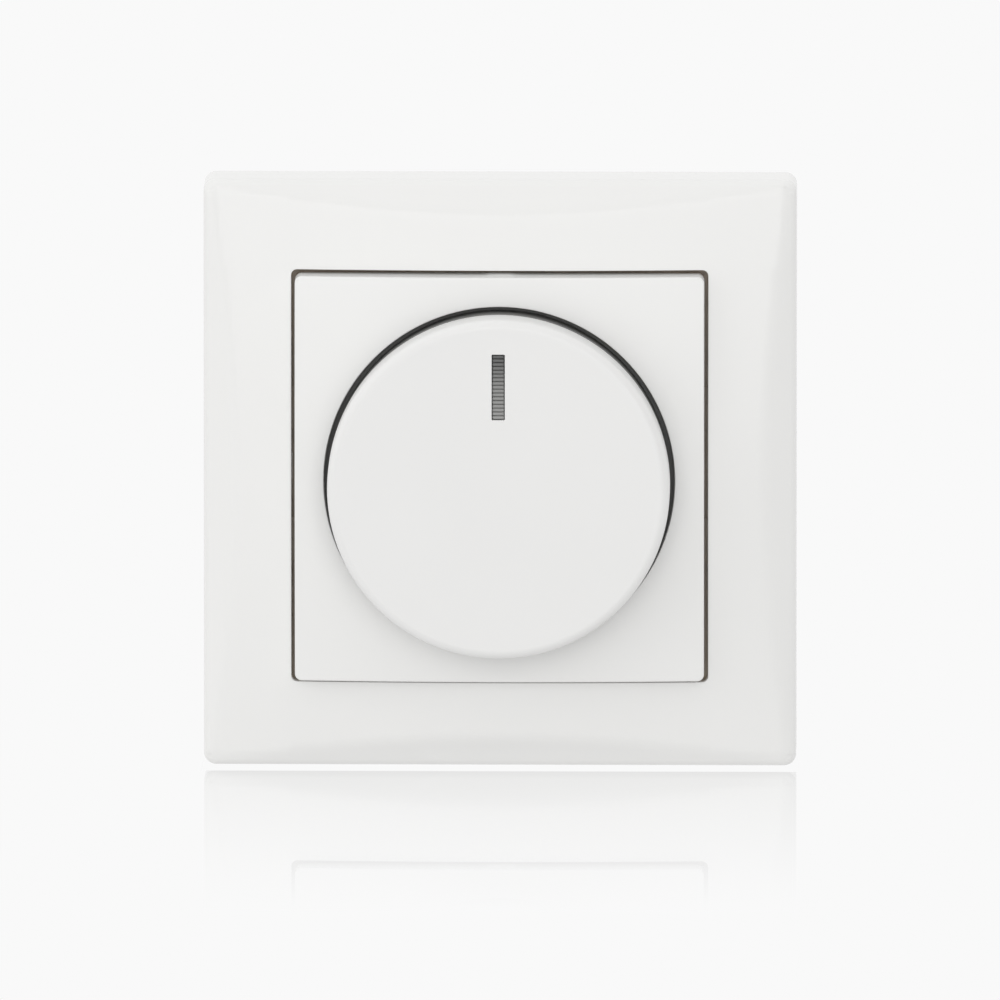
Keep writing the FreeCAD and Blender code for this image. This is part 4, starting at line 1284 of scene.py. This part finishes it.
    def dress(self) -> None:
        """Builds the knob's three pieces and settles them on its body."""
        settle(self.build_cap(), "knob_cap")
        settle(self.build_core(), "knob_core")
        settle(self.build_pointer(), "indicator_window", self.rib_sharp_from)


@dataclass
class MountingRing:
    """Galvanised mounting ring with its claws and their screws."""

    broken_edge: float = 0.1
    screw_radius: float = 1.5
    screw_pitch: float = 0.5
    screw_tip: float = -14.0
    screw_sides: int = 24
    tooth_height: float = 0.275
    tooth_half_width: float = 0.23
    tooth_overlap: float = 0.02
    thread_steps: int = 20
    bare_turns: int = 2
    head_radius: float = 2.4
    head_depth: Span = (1.5, 3.3)
    head_sides: int = 40
    head_round: Round = (0.63, 4)
    head_slot: Span = (0.7, 0.9)
    head_overlap: float = 0.1

    def build_head(self) -> Piece:
        """Makes a claw screw's rounded head, with a screwdriver's slot across its front.

        Returns:
            The head, on the knob's axis.
        """
        head = barrel("claw_screw", self.head_radius, self.head_depth, self.head_sides, self.head_round)
        width, sunk = self.head_slot
        front, end = self.head_depth[1], self.head_radius + OVERSHOOT
        carve(head, [block("slot_cutter", (-width / 2, width / 2), (front - sunk, front + OVERSHOOT),
                           (-end, end))])
        return head

    def build_rod(self) -> Piece:
        """Makes a claw screw's rod: a thread wound from one tooth about a plain bar.

        Returns:
            The rod, on the knob's axis.
        """
        root = self.screw_radius - self.tooth_height
        front = self.head_depth[0] + self.head_overlap
        rod = barrel("claw_screw_rod", root + self.tooth_overlap, (self.screw_tip, front), self.screw_sides)
        clear_selection()
        bpy.ops.mesh.primitive_circle_add(vertices=4, radius=1.0,
                                          location=(root, self.screw_pitch - front, 0.0))
        bpy.context.active_object.scale = (self.tooth_height, self.tooth_half_width, 1.0)
        thread = named("claw_screw_thread")
        modified(thread, "SCREW", axis="Y", screw_offset=self.screw_pitch, steps=self.thread_steps,
                 render_steps=self.thread_steps,
                 iterations=int((front - self.screw_tip) / self.screw_pitch) - self.bare_turns)
        with editing(thread):
            bpy.ops.mesh.select_all(action="SELECT")
            bpy.ops.mesh.fill_holes(sides=0)
        outward(thread)
        return join([rod, thread])

    def dress(self) -> None:
        """Breaks the edges of the ring and its claws, and settles them with their screws."""
        for node in ("support_plate", "claw_right", "claw_left"):
            settle(softened_copy(node, f"{node}_pressing", self.broken_edge), node)
        first = join([self.build_head(), self.build_rod()])
        for node in ("claw_screw_right", "claw_screw_left"):
            low, high = (Vector(corner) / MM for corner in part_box(node))
            middle = (low + high) / 2
            screw = placed(copy_of(first), x=middle.x, z=middle.z)
            screw.name = f"{node}_slotted"
            settle(screw, node)
        bpy.data.objects.remove(first)


@dataclass
class RearModule:
    """Dark module box with its lid, screws and terminals."""

    moulded_edge: float = 0.25
    broken_edge: float = 0.08
    back: float = -24.0
    field_half: float = 14.6
    field_height: Span = (-6.6, 14.0)
    field_sunk: float = 0.35
    field_round: Round = (0.28, 3)
    mark_radius: float = 1.5
    mark_sides: int = 32
    mark_sunk: float = 0.12
    mark_places: tuple[Span, ...] = ((-11.0, 10.6), (11.0, 10.6), (-11.0, -3.2), (11.0, -3.2))

    def build_housing(self) -> Piece:
        """Makes the box: its back has a sunk field with the round marks of the mould's ejectors.

        Returns:
            The box, on the bench.
        """
        piece = softened_copy("module_housing", "module_housing_moulding", self.moulded_edge)
        outside = self.back - OVERSHOOT
        floor = self.back + self.field_sunk
        field = block("field_cutter", (-self.field_half, self.field_half), (outside, floor),
                      self.field_height, self.field_round)
        marks = [barrel("mark_cutter", self.mark_radius, (outside, floor + self.mark_sunk), self.mark_sides,
                        x=x, z=z) for x, z in self.mark_places]
        carve(piece, [field] + marks)
        mend(piece)
        return piece

    def dress(self) -> None:
        """Rounds the moulded edges of the box and settles it with its fittings."""
        settle(self.build_housing(), "module_housing")
        settle(softened_copy("module_lid", "module_lid_moulding", self.moulded_edge), "module_lid")
        for node in ("module_screws", "terminal_screws", "terminal_clamps"):
            settle(softened_copy(node, f"{node}_softened", self.broken_edge), node)


@dataclass
class ReturnSpring:
    """Spring of the push switch, which gives way as the knob is pressed."""

    press: str = "knob_press"
    broken_edge: float = 0.05

    def dress(self) -> None:
        """Settles the spring and gives it a mesh of its own."""
        spring = softened_copy("return_spring", "return_spring_coil", self.broken_edge)
        settle(spring, "return_spring")
        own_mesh(spring)


@dataclass
class InnerWorks:
    """Rotary control, push switch and electronics inside the module."""

    nodes: tuple[str, ...] = (
        "hub_clip", "shaft", "threaded_bushing", "bushing_nut", "lock_washer", "control_housing",
        "resistor_track", "wiper_rotor", "wiper_contact", "switch_housing", "switch_plunger",
        "circuit_board", "triac", "choke_core", "choke_winding", "film_capacitor", "fuse_tube",
        "fuse_caps", "fuse_clips")

    def dress(self) -> None:
        """Gives each inner piece its finish."""
        for node in self.nodes:
            dress_node(node)


@dataclass
class Studio:
    """Pale floor, soft light and the camera at the photograph's angle."""

    aim: Triple = (-0.12, 0.0, -4.92)
    distance: float = 6000.0
    elevation: float = 9.0
    azimuth: float = 0.9
    lens: float = 1597.9
    sensor: float = 36.0
    far_limit: float = 100.0
    floor_level: float = -40.4
    floor_half: float = 12.0
    floor_light: float = 0.947
    floor_gloss: float = 0.55
    floor_rough: float = 0.01
    gloss_reach: Span = (0.016, 0.124)
    gloss_fall: float = 1.5
    gloss_stretch: Triple = (0.35, 1.0, 0.0)
    strip_width: Span = (-0.0402, 0.0402)
    strip_depth: Span = (-0.0102, -0.003)
    backdrop: float = 0.947
    room: float = 0.378
    overhead: float = 0.96
    underside: float = 0.69
    room_to_backdrop: Span = (-0.55, 0.05)
    up_to_horizon: Span = (-0.3, 0.0)
    up_to_overhead: Span = (0.25, 0.7)
    lamp_size: float = 1.5
    lamps: tuple[tuple[str, Triple, float], ...] = (
        ("front_lamp", (0.0, -2.0, 0.32), 11.67), ("left_lamp", (-1.6, -1.1, 0.4), 5.07))

    def build(self) -> None:
        """Sets up the floor, the lights and the camera."""
        self.build_floor()
        self.build_surround()
        for name, place, power in self.lamps:
            self.build_lamp(name, place, power)
        self.build_camera()

    def build_floor(self) -> None:
        """Lays a pale lit floor that mirrors the object near its foot, but for a matt strip along it."""
        clear_selection()
        bpy.ops.mesh.primitive_plane_add(size=2 * self.floor_half,
                                         location=(0.0, 0.0, self.floor_level * MM))
        floor = named("studio_floor")
        bench = FinishBench("pale_floor")
        oval = bench.add("VectorMath", {0: bench.place, 1: self.gloss_stretch}, operation="MULTIPLY")
        away = bench.add("VectorMath", {0: oval.outputs["Vector"]}, operation="LENGTH")
        fade = bench.ramp(away.outputs["Value"], self.gloss_reach,
                          (self.floor_gloss ** (1.0 / self.gloss_fall), 0.0))
        strip = bench.maths("MULTIPLY", bench.within(bench.axis("X"), self.strip_width),
                            bench.within(bench.axis("Y"), self.strip_depth))
        share = bench.maths("MULTIPLY", bench.maths("POWER", fade, self.gloss_fall),
                            bench.maths("SUBTRACT", 1.0, strip))
        glow = bench.add("Emission", {"Strength": self.floor_light})
        mirror = bench.add("BsdfGlossy", {"Color": WHITE, "Roughness": self.floor_rough},
                           distribution="MULTI_GGX")
        blend = bench.add("MixShader", {0: share, 1: glow.outputs["Emission"], 2: mirror.outputs["BSDF"]})
        bench.feed(bench.nodes["Material Output"].inputs["Surface"], blend.outputs["Shader"])
        floor.data.materials.append(bench.material)
        floor.visible_diffuse = False
        floor.visible_shadow = False

    def build_surround(self) -> None:
        """Makes the surround: a bright backdrop, a dimmer room before it and more light from above."""
        scene = bpy.context.scene
        scene.world = bpy.data.worlds.new("studio_surround")
        scene.world.use_nodes = True
        bench = NodeBench(scene.world.node_tree, "Generated")
        level, above, below, overhead, underside = (
            bench.ramp(bench.axis(axis), span, levels, "SMOOTHSTEP") for axis, span, levels in (
                ("Y", self.room_to_backdrop, (self.room, self.backdrop)),
                ("Z", self.up_to_horizon, (0.0, 1.0)), ("Z", self.up_to_overhead, (1.0, 0.0)),
                ("Z", self.up_to_overhead, (0.0, self.overhead)),
                ("Z", self.up_to_horizon, (self.underside, 0.0))))
        for operation, other in (("MULTIPLY", above), ("MULTIPLY", below),
                                 ("ADD", overhead), ("ADD", underside)):
            level = bench.maths(operation, level, other)
        background = bench.nodes["Background"].inputs
        bench.feed(background["Strength"], level)
        bench.feed(background["Color"], WHITE)
        scene.view_settings.view_transform = "Standard"

    def build_lamp(self, name: str, place: Triple, power: float) -> None:
        """Hangs a large soft lamp that faces the object.

        Args:
            name: Name of the lamp.
            place: Where it hangs, in metres.
            power: Its power, in watts.
        """
        clear_selection()
        bpy.ops.object.light_add(type="AREA", location=place)
        lamp = bpy.context.active_object
        lamp.name = name
        lamp.data.energy = power
        lamp.data.size = self.lamp_size
        lamp.rotation_euler = (-lamp.location).to_track_quat("-Z", "Y").to_euler()

    def build_camera(self) -> None:
        """Places the camera and makes it the scene's."""
        clear_selection()
        rise, side = math.radians(self.elevation), math.radians(self.azimuth)
        away = Vector((math.sin(side) * math.cos(rise), -math.cos(side) * math.cos(rise), math.sin(rise)))
        bpy.ops.object.camera_add(location=(Vector(self.aim) + away * self.distance) * MM)
        camera = bpy.context.active_object
        camera.name = "studio_camera"
        camera.rotation_euler = (-away).to_track_quat("-Z", "Y").to_euler()
        camera.data.sensor_width = self.sensor
        camera.data.lens = self.lens
        camera.data.clip_end = self.far_limit
        bpy.context.scene.camera = camera


def main() -> None:
    """Builds the sub-assemblies in order, then the studio."""
    logging.basicConfig(level=logging.INFO, format="%(name)s: %(message)s")
    for assembly in (CoverFrame(), CentrePlate(), Knob(), MountingRing(), RearModule(),
                     ReturnSpring(), InnerWorks()):
        assembly.dress()
        log.info("%s is dressed", type(assembly).__name__)
    Studio().build()


if __name__ == "__main__":
    main()
